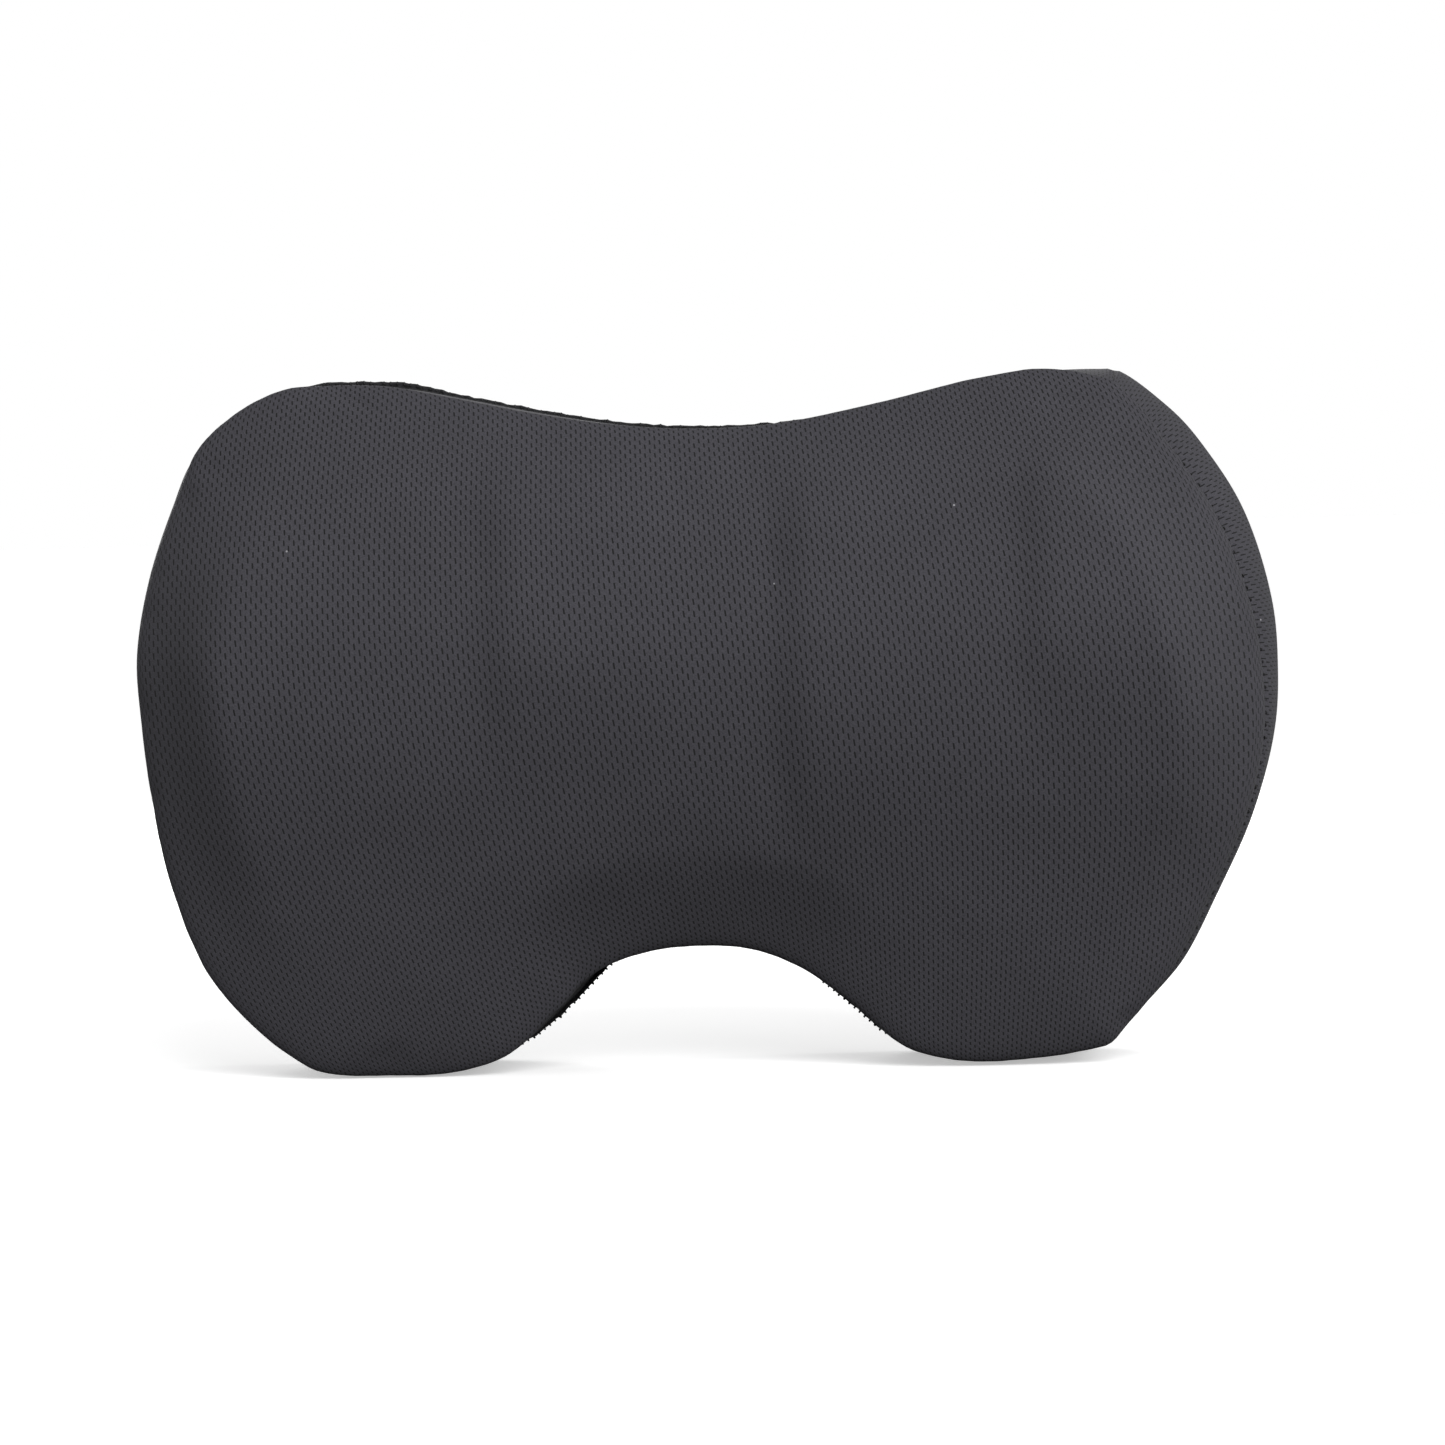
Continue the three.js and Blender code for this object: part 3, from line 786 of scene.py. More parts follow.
def closed_curve(controls: np.ndarray, steps: int) -> np.ndarray:
    """Runs a closed centripetal curve through control points.

    Args:
        controls: The points that it goes through.
        steps: Points for each stretch between two of them.

    Returns:
        The curve's points.
    """
    found = []
    count = len(controls)
    share = np.arange(steps)[:, None] / steps
    for i in range(count):
        p = [controls[(i + k) % count] for k in (-1, 0, 1, 2)]
        d = [max(np.linalg.norm(b - a), 1e-9) ** 0.5 for a, b in zip(p, p[1:])]
        start = ((p[1] - p[0]) / d[0] - (p[2] - p[0]) / (d[0] + d[1]) + (p[2] - p[1]) / d[1]) * d[1]
        end = ((p[2] - p[1]) / d[1] - (p[3] - p[1]) / (d[1] + d[2]) + (p[3] - p[2]) / d[2]) * d[1]
        square, cube = share**2, share**3
        found.append(
            (2 * cube - 3 * square + 1) * p[1]
            + (cube - 2 * square + share) * start
            + (3 * square - 2 * cube) * p[2]
            + (cube - square) * end
        )
    return np.concatenate(found)


def smooth(value: np.ndarray, low: float, high: float) -> np.ndarray:
    """Rises smoothly from 0 at low to 1 at high."""
    t = np.clip((value - low) / (high - low), 0, 1)
    return t * t * (3 - 2 * t)


@dataclass(frozen=True)
class Fold:
    """A soft upright fold of the front: steep on its left, gentle on its right, fading at both ends."""

    crest_x: float
    rise: float
    fall: float
    size: float
    low_z: float
    high_z: float
    fade: float = 26 * MM

    def height(self, x: np.ndarray, z: np.ndarray) -> np.ndarray:
        """Gives the fold's height at points of the front."""
        left = smooth(x, self.crest_x - self.rise, self.crest_x)
        right = 1 - smooth(x, self.crest_x, self.crest_x + self.fall)
        ends = smooth(z, self.low_z - self.fade, self.low_z + self.fade) * (
            1 - smooth(z, self.high_z - self.fade, self.high_z + self.fade)
        )
        return self.size * np.where(x < self.crest_x, left, right) * ends


@dataclass
class CushionForm:
    """The cushion's shape: outline, side swelling, rounded rim, lumbar crest and the front's soft folds."""

    around: int = 480
    seam_y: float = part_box("front_panel")[1].y
    back_y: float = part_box("back_panel_upper")[1].y
    front_y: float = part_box("front_panel")[0].y
    swell_low: float = 1.5 * MM
    swell_right: float = 7 * MM
    swell_left: float = 1.2 * MM
    back_share: float = 0.6
    side_from: float = 110 * MM
    side_to: float = 165 * MM
    rim: float = 38 * MM
    rim_height: float = 12 * MM
    crest_z: float = 134 * MM
    crest_above: float = 60 * MM
    crest_below: float = 78 * MM
    centre: tuple[float, float] = (0.0, 148 * MM)
    seam_dip: float = 1.2 * MM
    seam_width: float = 1.3 * MM
    back_cloth: float = 1.7 * MM
    tuck: float = 1.8 * MM
    lip: float = 3.2 * MM
    lip_depth: float = 5 * MM
    folds: tuple[Fold, ...] = (
        Fold(-57 * MM, 15 * MM, 72 * MM, 4.4 * MM, 118 * MM, 200 * MM),
        Fold(40 * MM, 16 * MM, 66 * MM, 4.8 * MM, 84 * MM, 206 * MM),
        Fold(119 * MM, 15 * MM, 56 * MM, 3.8 * MM, 128 * MM, 206 * MM)
    )
    outline: np.ndarray = field(init=False)
    normals: np.ndarray = field(init=False)
    arc: np.ndarray = field(init=False)

    def __post_init__(self) -> None:
        """Samples the outline evenly and finds its outward normals."""
        left = np.array(LEFT_HALF, float)[::-1] * (-1, 1)
        controls = np.concatenate([[(0, TOP_WAIST)], RIGHT_HALF, [(0, ARCH_TOP)], left]) * MM
        dense = closed_curve(controls, 24)
        loop = np.concatenate([dense, dense[:1]])
        run = np.concatenate([[0], np.cumsum(np.linalg.norm(np.diff(loop, axis=0), axis=1))])
        self.arc = run[-1] * np.arange(self.around) / self.around
        self.outline = np.stack([np.interp(self.arc, run, loop[:, k]) for k in (0, 1)], 1)
        along = np.roll(self.outline, -1, 0) - np.roll(self.outline, 1, 0)
        normals = np.stack([-along[:, 1], along[:, 0]], 1)
        self.normals = normals / np.linalg.norm(normals, axis=1, keepdims=True)

    def swell(self) -> np.ndarray:
        """How far each side swells beyond its seams, more towards the top."""
        x, z = self.outline.T
        side = smooth(np.abs(x), self.side_from, self.side_to)
        high = smooth(z, 70 * MM, 190 * MM)
        return side * (self.swell_low + high * np.where(x > 0, self.swell_right, self.swell_left))

    def overhang(self) -> np.ndarray:
        """Gives how far the front rolls over its seam: most on top, less at the left, none at the right."""
        across, up = self.normals.T
        sides = np.where(across > 0, 1 - smooth(across, 0.65, 0.9), 1 - 0.4 * smooth(-across, 0.8, 1))
        return sides * (1 + 0.5 * smooth(up, 0.3, 0.8))

    def ring(self, y: float, inset: float | np.ndarray = 0.0) -> np.ndarray:
        """Gives the outline at a depth of the gusset.

        Args:
            y: The depth.
            inset: How far it is drawn in, one number or one for each point.

        Returns:
            Its points in space.
        """
        share = (y - self.seam_y) / (self.back_y - self.seam_y)
        ends = 1.0 if share < 0.5 else self.back_share
        drawn = self.swell() * ends * abs(2 * share - 1) ** 3 + self.tuck * self.overhang() * (1 - share)
        flat = self.outline - self.normals * np.reshape(inset + drawn, (-1, 1))
        return at_depth(np.maximum(flat, (-math.inf, 0.0)), y)

    def from_seam(self, flat: np.ndarray) -> np.ndarray:
        """Measures how far points inside the front seam lie from it.

        Args:
            flat: Points as x and z.

        Returns:
            Their distances from the seam.
        """
        seam = self.ring(self.seam_y)[:, [0, 2]]
        step = np.roll(seam, -1, 0) - seam
        lengths = (step**2).sum(1)
        found = []
        for block in np.array_split(flat, max(1, len(flat) // 400)):
            gap = block[:, None] - seam[None]
            t = np.clip((gap * step).sum(2) / lengths, 0, 1)
            near = gap - t[..., None] * step
            found.append(np.sqrt((near**2).sum(2).min(1)))
        return np.concatenate(found)

    def height(self, flat: np.ndarray, inset: float = 0.0) -> np.ndarray:
        """Gives how far the front stands forward of its seam.

        Args:
            flat: Points as x and z.
            inset: How far the surface is drawn in.

        Returns:
            The heights.
        """
        away = self.from_seam(flat)
        t = np.clip((away - inset) / (self.rim - inset), 0, 1)
        rounded = (self.rim_height - inset) * np.sqrt(1 - (1 - t) ** 2)
        lumbar = self.seam_y - self.front_y - self.rim_height
        above = flat[:, 1] - self.crest_z
        crest = lumbar * np.exp(-((above / np.where(above > 0, self.crest_above, self.crest_below)) ** 2))
        inner = smooth(away, 0, 34 * MM)
        folds = sum(fold.height(flat[:, 0], flat[:, 1]) for fold in self.folds)
        return np.maximum(rounded + (crest + folds - 1.2 * MM) * inner, 0)

    def front_grid(self, rows: int, inset: float = 0.0, dip: float = 0.0) -> np.ndarray:
        """Gives the front panel's points, row by row from its seam to the row before its middle.

        Args:
            rows: How many rows.
            inset: How far the surface is drawn in.
            dip: How deep the seam is pulled in.

        Returns:
            An array of rows, points and coordinates.
        """
        sizes = 1 - (np.arange(rows) / rows) ** 2.0
        seam = self.ring(self.seam_y, inset)[:, [0, 2]]
        middle = np.array(self.centre)
        grid = []
        for size in sizes:
            flat = middle + size * (seam - middle)
            tall = self.height(flat, inset)
            pulled = dip * np.exp(-((tall / (3 * self.seam_width)) ** 2))
            rolled = self.lip * tall / self.lip_depth * np.exp(1 - tall / self.lip_depth)
            flat = flat + self.normals * (rolled * self.overhang() - pulled)[:, None]
            grid.append(at_depth(flat, self.seam_y - tall))
        return np.array(grid)

    def gusset_grid(self, rows: int, inset: float = 0.0, dip: float = 0.0) -> np.ndarray:
        """Gives the gusset's points, row by row from the back seam to the front seam.

        Args:
            rows: How many rows.
            inset: How far the surface is drawn in.
            dip: How deep each seam is pulled in.

        Returns:
            An array of rows, points and coordinates.
        """
        shares = 0.5 - 0.5 * np.cos(np.pi * np.arange(rows) / (rows - 1))
        depths = self.back_y - self.back_cloth + (self.seam_y - self.back_y + self.back_cloth) * shares
        near = np.minimum(np.abs(depths - self.seam_y), np.abs(depths - depths[0]))
        pulls = dip * np.exp(-((near / self.seam_width) ** 2))
        return np.array([self.ring(y, inset + pull) for y, pull in zip(depths, pulls)])

    def middle_point(self, inset: float = 0.0) -> np.ndarray:
        """Gives the front panel's middle point."""
        tall = self.height(np.array([self.centre]), inset)[0]
        return np.array([self.centre[0], self.seam_y - tall, self.centre[1]])


@dataclass
class Settling:
    """A cloth simulation of the cover over the core, kept as small moves of the cover's points."""

    form: CushionForm
    gusset_rows: int = 9
    front_rows: int = 26
    stride: int = 3
    pressure: float = 4.0
    frames: int = 20
    outward: float = 2.0 * MM
    inward: float = 0.5 * MM
    keep: float = 0.8
    gusset_share: float = 0.4
    gusset_moves: np.ndarray = field(init=False)
    front_moves: np.ndarray = field(init=False)

    def __post_init__(self) -> None:
        gusset = self.form.gusset_grid(self.gusset_rows)[:, :: self.stride]
        front = self.form.front_grid(self.front_rows)[:, :: self.stride]
        self.gusset_moves = np.zeros_like(gusset)
        self.front_moves = np.zeros_like(front)
        moves = self.simulate(gusset, front)
        split = gusset.shape[0] * gusset.shape[1]
        self.gusset_moves = moves[:split].reshape(gusset.shape) * self.gusset_share
        rest = moves[split : split + (front.shape[0] - 1) * front.shape[1]]
        self.front_moves[1:] = rest.reshape(front.shape[0] - 1, front.shape[1], 3)
        self.front_moves[0] = self.gusset_moves[-1]
        fade = 1 - smooth(np.arange(self.front_rows) / self.front_rows, 0.55, 0.95)
        self.front_moves *= fade[:, None, None]

    def simulate(self, gusset: np.ndarray, front: np.ndarray) -> np.ndarray:
        """Blows the cover up from inside with its seams held, and measures how each point moves.

        Args:
            gusset: The gusset's points by row.
            front: The front panel's points by row, its first row the seam.

        Returns:
            Each point's move along its normal. The core stops it inward and the fabric's stretch outward.
        """
        around = gusset.shape[1]
        rings = np.concatenate([gusset, front[1:]])
        ends = (self.form.middle_point(), (self.form.centre[0], self.form.back_y, self.form.centre[1]))
        points = np.concatenate([rings.reshape(-1, 3), ends])
        cover = closed_body("settling", rings, ends[1], ends[0])
        facing = np.array([v.normal for v in cover.data.vertices], float)
        held = cover.vertex_groups.new(name="held")
        seams = [*range(around), *range((len(gusset) - 1) * around, len(gusset) * around), len(points) - 1]
        held.add(seams, 1.0, "REPLACE")
        cloth = cover.modifiers.new("settle", "CLOTH")
        settings = cloth.settings
        settings.quality = 6
        settings.mass = 0.35
        settings.tension_stiffness = settings.compression_stiffness = 18
        settings.shear_stiffness = 8
        settings.bending_stiffness = 1.5
        settings.vertex_group_mass = "held"
        settings.use_pressure = True
        settings.uniform_pressure_force = self.pressure
        settings.effector_weights.gravity = 0
        scene = bpy.context.scene
        for number in range(1, self.frames + 1):
            scene.frame_set(number)
        graph = bpy.context.evaluated_depsgraph_get()
        moved = np.array([v.co for v in cover.evaluated_get(graph).data.vertices], float)
        scene.frame_set(1)
        bpy.data.objects.remove(cover)
        moves = (moved - points) * self.keep
        away = (moves * facing).sum(1)
        LOG.info("settling: %.1f mm inward to %.1f mm outward", -away.min() / MM, away.max() / MM)
        return facing * np.clip(away, -self.inward, self.outward)[:, None]

    @staticmethod
    def spread(moves: np.ndarray, rows: int, around: int) -> np.ndarray:
        """Interpolates coarse moves onto a finer grid.

        Args:
            moves: Moves by coarse row and point.
            rows: Rows of the finer grid.
            around: Points in each of its rows.

        Returns:
            Moves by fine row and point.
        """
        coarse_rows, coarse_around = moves.shape[:2]
        row = np.linspace(0, coarse_rows - 1, rows)
        low = np.minimum(row.astype(int), coarse_rows - 2)
        part = (row - low)[:, None, None]
        tall = moves[low] * (1 - part) + moves[low + 1] * part
        column = np.arange(around) * coarse_around / around
        left = column.astype(int) % coarse_around
        share = (column - column.astype(int))[None, :, None]
        share = share * share * (3 - 2 * share)
        return tall[:, left] * (1 - share) + tall[:, (left + 1) % coarse_around] * share


# ---- Cover and core --------------------------------------------------------------------------------------


@dataclass
class Cover:
    """The knit cover: front panel and four gussets, with their seams and stitches."""

    form: CushionForm
    settling: Settling
    repeat: PathRepeat
    front_rows: int = 72
    gusset_rows: int = 31
    cloth: float = 1.8 * MM
    top_corner: float = 140 * MM
    bottom_corner: float = 136 * MM
    stitch_pitch: float = 4.2 * MM
    stitch_length: float = 0.8 * MM
    stitch_lift: float = 0.55 * MM
    thread: float = 0.22 * MM
    column_bow: float = 0.1
    column_skew: float = 0.05
    bow_z: float = 128 * MM
    gather: float = 0.23
    arch_gather: float = 12 * MM
    wall: float = 7 * MM
    join_dip: float = 0.5 * MM
    gusset_relax: float = 1.25

    def flat_cut(self, points: np.ndarray, outward: np.ndarray) -> np.ndarray:
        """Gives the front fabric's flat place under each point.

        The fabric is stretched over the crest and gathers towards the edges, most over the arch, and the
        columns bow and lean a little.

        Args:
            points: Points of the front panel.
            outward: The outline's outward direction at each of them, as x and z.

        Returns:
            Flat places in metres.
        """
        form = self.form
        x, z = points[:, 0], points[:, 2]
        up = z - self.bow_z
        rows = up * (1 + self.gather * (up / (100 * MM)) ** 2)
        away = np.clip(form.from_seam(points[:, [0, 2]]) / (30 * MM), 0, 1)
        arch = (1 - smooth(np.abs(x), 45 * MM, 85 * MM)) * (1 - smooth(z, 60 * MM, 110 * MM))
        rows -= self.arch_gather * arch * (1 - away) ** 2
        wall = np.maximum(0, self.wall - (form.seam_y - points[:, 1]))
        bow = 1 + self.column_bow * (up / (115 * MM)) ** 2
        columns = x * bow + self.column_skew * rows
        return np.stack([columns + outward[:, 0] * wall, rows + outward[:, 1] * wall], 1)

    def build(self) -> None:
        """Builds and dresses the panels and their stitches."""
        self.front()
        self.gussets()
        self.seam_stitches()

    def front(self) -> None:
        """Builds the front panel as one closed skin over the core."""
        form = self.form
        grid = form.front_grid(self.front_rows, dip=form.seam_dip)
        grid += Settling.spread(self.settling.front_moves, self.front_rows, form.around)
        pucker = ripple(form.arc, 11 * MM, 3) * 0.18 * MM
        for row, fade in zip(grid, np.exp(-np.arange(self.front_rows) / 5.0)):
            row[:, [0, 2]] += form.normals * (pucker * fade)[:, None]
        points = np.concatenate([grid.reshape(-1, 3), [form.middle_point()]])
        points[:, 2] = np.maximum(points[:, 2], 0)
        faces = dome_faces(self.front_rows, form.around)
        outward = np.concatenate([np.tile(form.normals, (self.front_rows, 1)), [(0, 0)]])
        piece = make_object("front_cover", points, faces, self.flat_cut(points, outward))
        hand_over(thickened(piece, self.cloth), Body.CUSHION, KNIT, "front_panel")

    def gussets(self) -> None:
        """Builds the four gusset strips, each pulled in at its ends where it is joined to the next."""
        form = self.form
        grid = form.gusset_grid(self.gusset_rows, dip=form.seam_dip)
        grid += Settling.spread(self.settling.gusset_moves, self.gusset_rows, form.around)
        grid[..., 2] = np.maximum(grid[..., 2], 0)
        depth = np.abs(grid[:, 0, 1] - grid[0, 0, 1])
        x, z = form.outline.T
        upper = z > form.centre[1]
        middle = np.where(upper, np.abs(x) < self.top_corner, np.abs(x) < self.bottom_corner)
        strips = {
            "gusset_top": middle & upper, "gusset_bottom": middle & ~upper, "gusset_left": ~middle & (x < 0),
            "gusset_right": ~middle & (x > 0)
        }
        for name, inside in strips.items():
            columns = self.run_of(inside)
            part = grid[:, columns].copy()
            ends = np.minimum(np.arange(len(columns)), np.arange(len(columns))[::-1])
            pull = self.join_dip * np.exp(-((ends * 2.4 * MM / form.seam_width) ** 2))
            part[..., [0, 2]] -= form.normals[columns] * pull[None, :, None]
            part[..., 2] = np.maximum(part[..., 2], 0)
            run = form.arc[columns]
            run = np.where(run < run[0] - 1e-9, run + form.arc[-1], run)
            flat = np.stack(np.broadcast_arrays(run[None] * self.gusset_relax, depth[:, None]), 2)
            faces = grid_faces(self.gusset_rows, len(columns), False)
            piece = make_object(f"{name}_cover", part.reshape(-1, 3), faces, flat.reshape(-1, 2))
            hand_over(thickened(piece, self.cloth), Body.CUSHION, KNIT, name)

    def run_of(self, inside: np.ndarray) -> np.ndarray:
        """Lists the outline points of one strip in order, from its start to its end.

        Args:
            inside: Whether each outline point is in the strip.

        Returns:
            Their numbers, with one more at the end so that strips meet.
        """
        count = len(inside)
        start = next(i for i in range(count) if inside[i] and not inside[i - 1])
        length = int(inside.sum())
        return (start + np.arange(length + 1)) % count

    def seam_stitches(self) -> None:
        """Sews the front seam: short dark stitches, uneven and half sunk between the panels."""
        form = self.form
        line = form.ring(form.seam_y, form.seam_dip - self.stitch_lift)
        self.repeat.along(
            "front_seam_stitches", line, at_depth(form.normals, -0.5),
            stitch(self.stitch_length, 0.3 * MM, 0.0), self.thread, self.stitch_pitch, BLACK_THREAD,
            slot=Slot.KNIT, closed=True, unevenness=0.35, seed=11
        )


@dataclass
class Core:
    """The foam core and its inner bag, hidden in the finished cushion."""

    form: CushionForm
    rows: int = 30
    stride: int = 4
    core_inset: float = 3.6 * MM
    bag_inset: float = 2.8 * MM
    bag: float = 0.5 * MM

    def build(self) -> None:
        """Builds the core and the bag."""
        core = self.body("foam_block", self.core_inset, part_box("foam_core")[1].y)
        hand_over(core, Body.CUSHION, FOAM, "foam_core")
        bag = self.body("inner_bag", self.bag_inset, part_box("core_liner")[1].y)
        hand_over(thickened(bag, self.bag), Body.CUSHION, JERSEY, "core_liner")

    def body(self, name: str, inset: float, back: float) -> Piece:
        """Builds a closed body inside the cover.

        Args:
            name: The piece's name.
            inset: How far it is drawn in from the cushion's form.
            back: The depth of its flat back.

        Returns:
            The new object.
        """
        form = self.form
        gusset = np.array([form.ring(y, inset) for y in np.linspace(back, form.seam_y, 8)[:-1]])
        rings = np.concatenate([gusset, form.front_grid(self.rows, inset)])[:, :: self.stride]
        rings[..., 2] = np.maximum(rings[..., 2], inset)
        return closed_body(name, rings, (form.centre[0], back, form.centre[1]), form.middle_point(inset))


@dataclass
class Back:
    """The black mesh back: two panels either side of the zip, their bumpy edge, stitches and label."""

    form: CushionForm
    repeat: PathRepeat
    rows: int = 40
    cloth: float = 1.6 * MM
    crown: float = 0.8 * MM
    zip_z: float = 84 * MM
    slot_half_height: float = 7 * MM
    slot_half_length: float = 134 * MM
    edge_pitch: float = 2.3 * MM
    edge_thread: float = 0.3 * MM
    edge_thickness: float = 1.3 * MM
    edge_least: float = 0.2 * MM
    edge_shows: tuple[tuple[float, float, float, float], ...] = (
        (-113 * MM, 231 * MM, 24 * MM, 1.7 * MM), (-60 * MM, 222 * MM, 40 * MM, 1.0 * MM),
        (6 * MM, 215 * MM, 30 * MM, 1.1 * MM), (-47 * MM, 24 * MM, 20 * MM, 1.5 * MM),
        (52 * MM, 20 * MM, 25 * MM, 4.3 * MM)
    )

    def build(self) -> None:
        """Builds and dresses the panels, their edge, the zip's topstitching and the label."""
        top = self.zip_z + self.slot_half_height
        self.panel("back_upper_cover", "back_panel_upper", lambda x, z: z > top)
        low = self.zip_z - self.slot_half_height
        in_slot = self.slot_half_length
        self.panel(
            "back_lower_cover", "back_panel_lower", lambda x, z: z < low or (z < top and abs(x) > in_slot)
        )
        self.edge()
        self.topstitches()
        self.label()

    def panel(self, name: str, node: str, keep: Callable[[float, float], bool]) -> None:
        """Cuts one panel out of the whole back and gives it a body.

        Args:
            name: The piece's name.
            node: The frame's node that it stands for.
            keep: Whether a face at x and z belongs to the panel.
        """
        form = self.form
        ring = form.ring(form.back_y, -0.2 * MM)[:, [0, 2]]
        middle = np.array(form.centre)
        sizes = 1 - (np.arange(self.rows) / self.rows) ** 1.3
        points = []
        for size in sizes:
            flat = middle + size * (ring - middle)
            points.append(at_depth(flat, form.back_y - self.crown * math.exp(-(1 - size) * 9)))
        points = np.concatenate([*points, [[middle[0], form.back_y, middle[1]]]])
        faces = [face[::-1] for face in dome_faces(self.rows, form.around)]
        piece = make_object(name, points, faces, points[:, [0, 2]])
        work = bmesh.new()
        work.from_mesh(piece.data)
        for x, z, normal in (
            (0, self.zip_z + self.slot_half_height, (0, 0, 1)),
            (0, self.zip_z - self.slot_half_height, (0, 0, 1)), (self.slot_half_length, 0, (1, 0, 0)),
            (-self.slot_half_length, 0, (1, 0, 0))
        ):
            everything = [*work.verts, *work.edges, *work.faces]
            bmesh.ops.bisect_plane(work, geom=everything, plane_co=(x, 0, z), plane_no=normal)
        middles = {f: f.calc_center_median() for f in work.faces}
        lost = [f for f, at in middles.items() if not keep(at.x, at.z)]
        bmesh.ops.delete(work, geom=lost, context="FACES")
        work.to_mesh(piece.data)
        work.free()
        hand_over(thickened(piece, self.cloth), Body.CUSHION, MESH, node)

    def edge_width(self) -> np.ndarray:
        """Gives how far the back's seam allowance stands out at each outline point."""
        form = self.form
        width = np.full(form.around, self.edge_least)
        for x, z, reach, size in self.edge_shows:
            gap = np.hypot(form.outline[:, 0] - x, form.outline[:, 1] - z)
            width += (size - self.edge_least) * np.exp(-((gap / reach) ** 4))
        return width + 0.16 * MM * (ripple(form.arc, 9 * MM, 5) + ripple(form.arc, 3.4 * MM, 6))

    def edge(self) -> None:
        """Builds the seam allowance, a flattened welt with a ragged edge, and oversews it."""
        form = self.form
        width = self.edge_width()
        half = self.edge_thickness / 2
        section = [(-1.6 * MM, -half), (0.0, -half), (0.6, -half), (1.0, -half * 0.4), (1.0, half * 0.4)]
        section += [(0.6, half), (0.0, half), (-1.6 * MM, half)]
        middle_y = form.back_y - half - 0.15 * MM
        rows = []
        for out, off in section:
            reach = width * out if out > 0 else np.full(form.around, out)
            rows.append(self.outside(reach, middle_y + off))
        rows = np.array(rows)
        count, around = rows.shape[:2]
        faces = grid_faces(count, around, True)
        faces += [((count - 1) * around + c, c, (c + 1) % around, (count - 1) * around + (c + 1) % around)
                  for c in range(around)]
        run = np.arange(count) * 1.0 * MM
        flat = np.stack(np.broadcast_arrays(run[:, None], form.arc[None]), 2).reshape(-1, 2)
        welt = recalculated(make_object("seam_allowance", rows.reshape(-1, 3), faces, flat))
        hand_over(welt, Body.CUSHION, MESH)
        high, deep = 0.45 * MM, half + 0.2 * MM
        loop = [
            (0.3 * high * math.sin(2 * a), deep * math.cos(a), high * math.sin(a))
            for a in np.linspace(0, math.tau, 10, endpoint=False)
        ]
        tucked = np.where(form.outline[:, 1] < 60 * MM, 0.05 * MM, 0.65 * MM)
        path = self.outside(width - tucked, middle_y)
        path[:, 2] = np.maximum(path[:, 2], high + self.edge_thread)
        self.repeat.along(
            "back_edge_overlock", path, at_depth(form.normals, 0.0), loop, self.edge_thread, self.edge_pitch,
            BLACK_THREAD, slot=Slot.MESH, closed=True, ring=True, unevenness=0.2, seed=23
        )

    def outside(self, reach: np.ndarray, y: float) -> np.ndarray:
        """Gives points beyond the back's outline.

        Args:
            reach: How far out each one lies.
            y: Their depth.

        Returns:
            The points, none of them below the floor.
        """
        points = self.form.ring(self.form.back_y, -reach)
        points[:, 1] = y
        return points

    def topstitches(self) -> None:
        """Sews a line of stitches along each side of the zip opening."""
        x = np.linspace(-self.slot_half_length, self.slot_half_length, 60)
        for name, side in (("upper", 1), ("lower", -1)):
            z = self.zip_z + side * (self.slot_half_height + 2.5 * MM)
            self.repeat.along(
                f"zip_topstitch_{name}",
                at_depth(np.stack([x, np.full(60, z)], 1), self.form.back_y + 0.05 * MM), REARWARD,
                stitch(2.2 * MM), 0.2 * MM, 3 * MM, BLACK_THREAD, slot=Slot.MESH, unevenness=0.05, seed=31
            )

    def label(self) -> None:
        """Builds the blank care label, sewn on along its top and lifting a little at its foot."""
        low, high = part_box("care_label")
        columns, rows = 14, 22
        u, v = np.meshgrid(np.linspace(0, 1, columns), np.linspace(0, 1, rows))
        lift = (1 - v) ** 2 * (1.4 + 0.5 * np.sin(3.0 * u)) * MM + 0.5 * MM
        points = np.stack(
            [high.x - u * (high.x - low.x), low.y + lift, low.z + v * (high.z - low.z)], 2
        ).reshape(-1, 3)
        piece = make_object("satin_label", points, grid_faces(rows, columns, False), points[:, [0, 2]])
        hand_over(thickened(piece, 0.25 * MM), Body.CUSHION, SATIN, "care_label")


# ---- Hardware --------------------------------------------------------------------------------------------


def refined(node: str, name: str, radius: float, segments: int = 3) -> Piece:
    """Copies a hard node's exact shape, joins its triangles into faces and rounds its edges.

    Args:
        node: The frame's node.
        name: The piece's name.
        radius: Edge rounding in metres.
        segments: Steps of the rounding.

    Returns:
        The new object.
    """
    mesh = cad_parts[node].data.copy()
    mesh.materials.clear()
    work = bmesh.new()
    work.from_mesh(mesh)
    bmesh.ops.remove_doubles(work, verts=work.verts, dist=5e-6)
    bmesh.ops.dissolve_limit(work, angle_limit=math.radians(2), verts=work.verts, edges=work.edges)
    work.to_mesh(mesh)
    work.free()
    piece = linked(name, mesh)
    bevel = piece.modifiers.new("rounding", "BEVEL")
    bevel.width = radius
    bevel.segments = segments
    bevel.limit_method = "ANGLE"
    bevel.angle_limit = math.radians(30)
    baked(piece)
    piece.data.shade_smooth()
    piece.data.set_sharp_from_angle(angle=math.radians(35))
    return piece


def dress(
    node: str, name: str, radius: float, body: Body, finish: Finish, levels: int | None = None,
    **given: object
) -> None:
    """Rounds a copy of a CAD piece and hands it over.

    Args:
        node: The frame's node.
        name: The piece's name.
        radius: How far its edges are rounded.
        body: The body that it moves with.
        finish: Its finish.
        levels: How finely it is rounded, where it isn't the usual amount.
        **given: What else hand_over is told.
    """
    piece = refined(node, name, radius) if levels is None else refined(node, name, radius, levels)
    hand_over(piece, body, finish, node, **given)


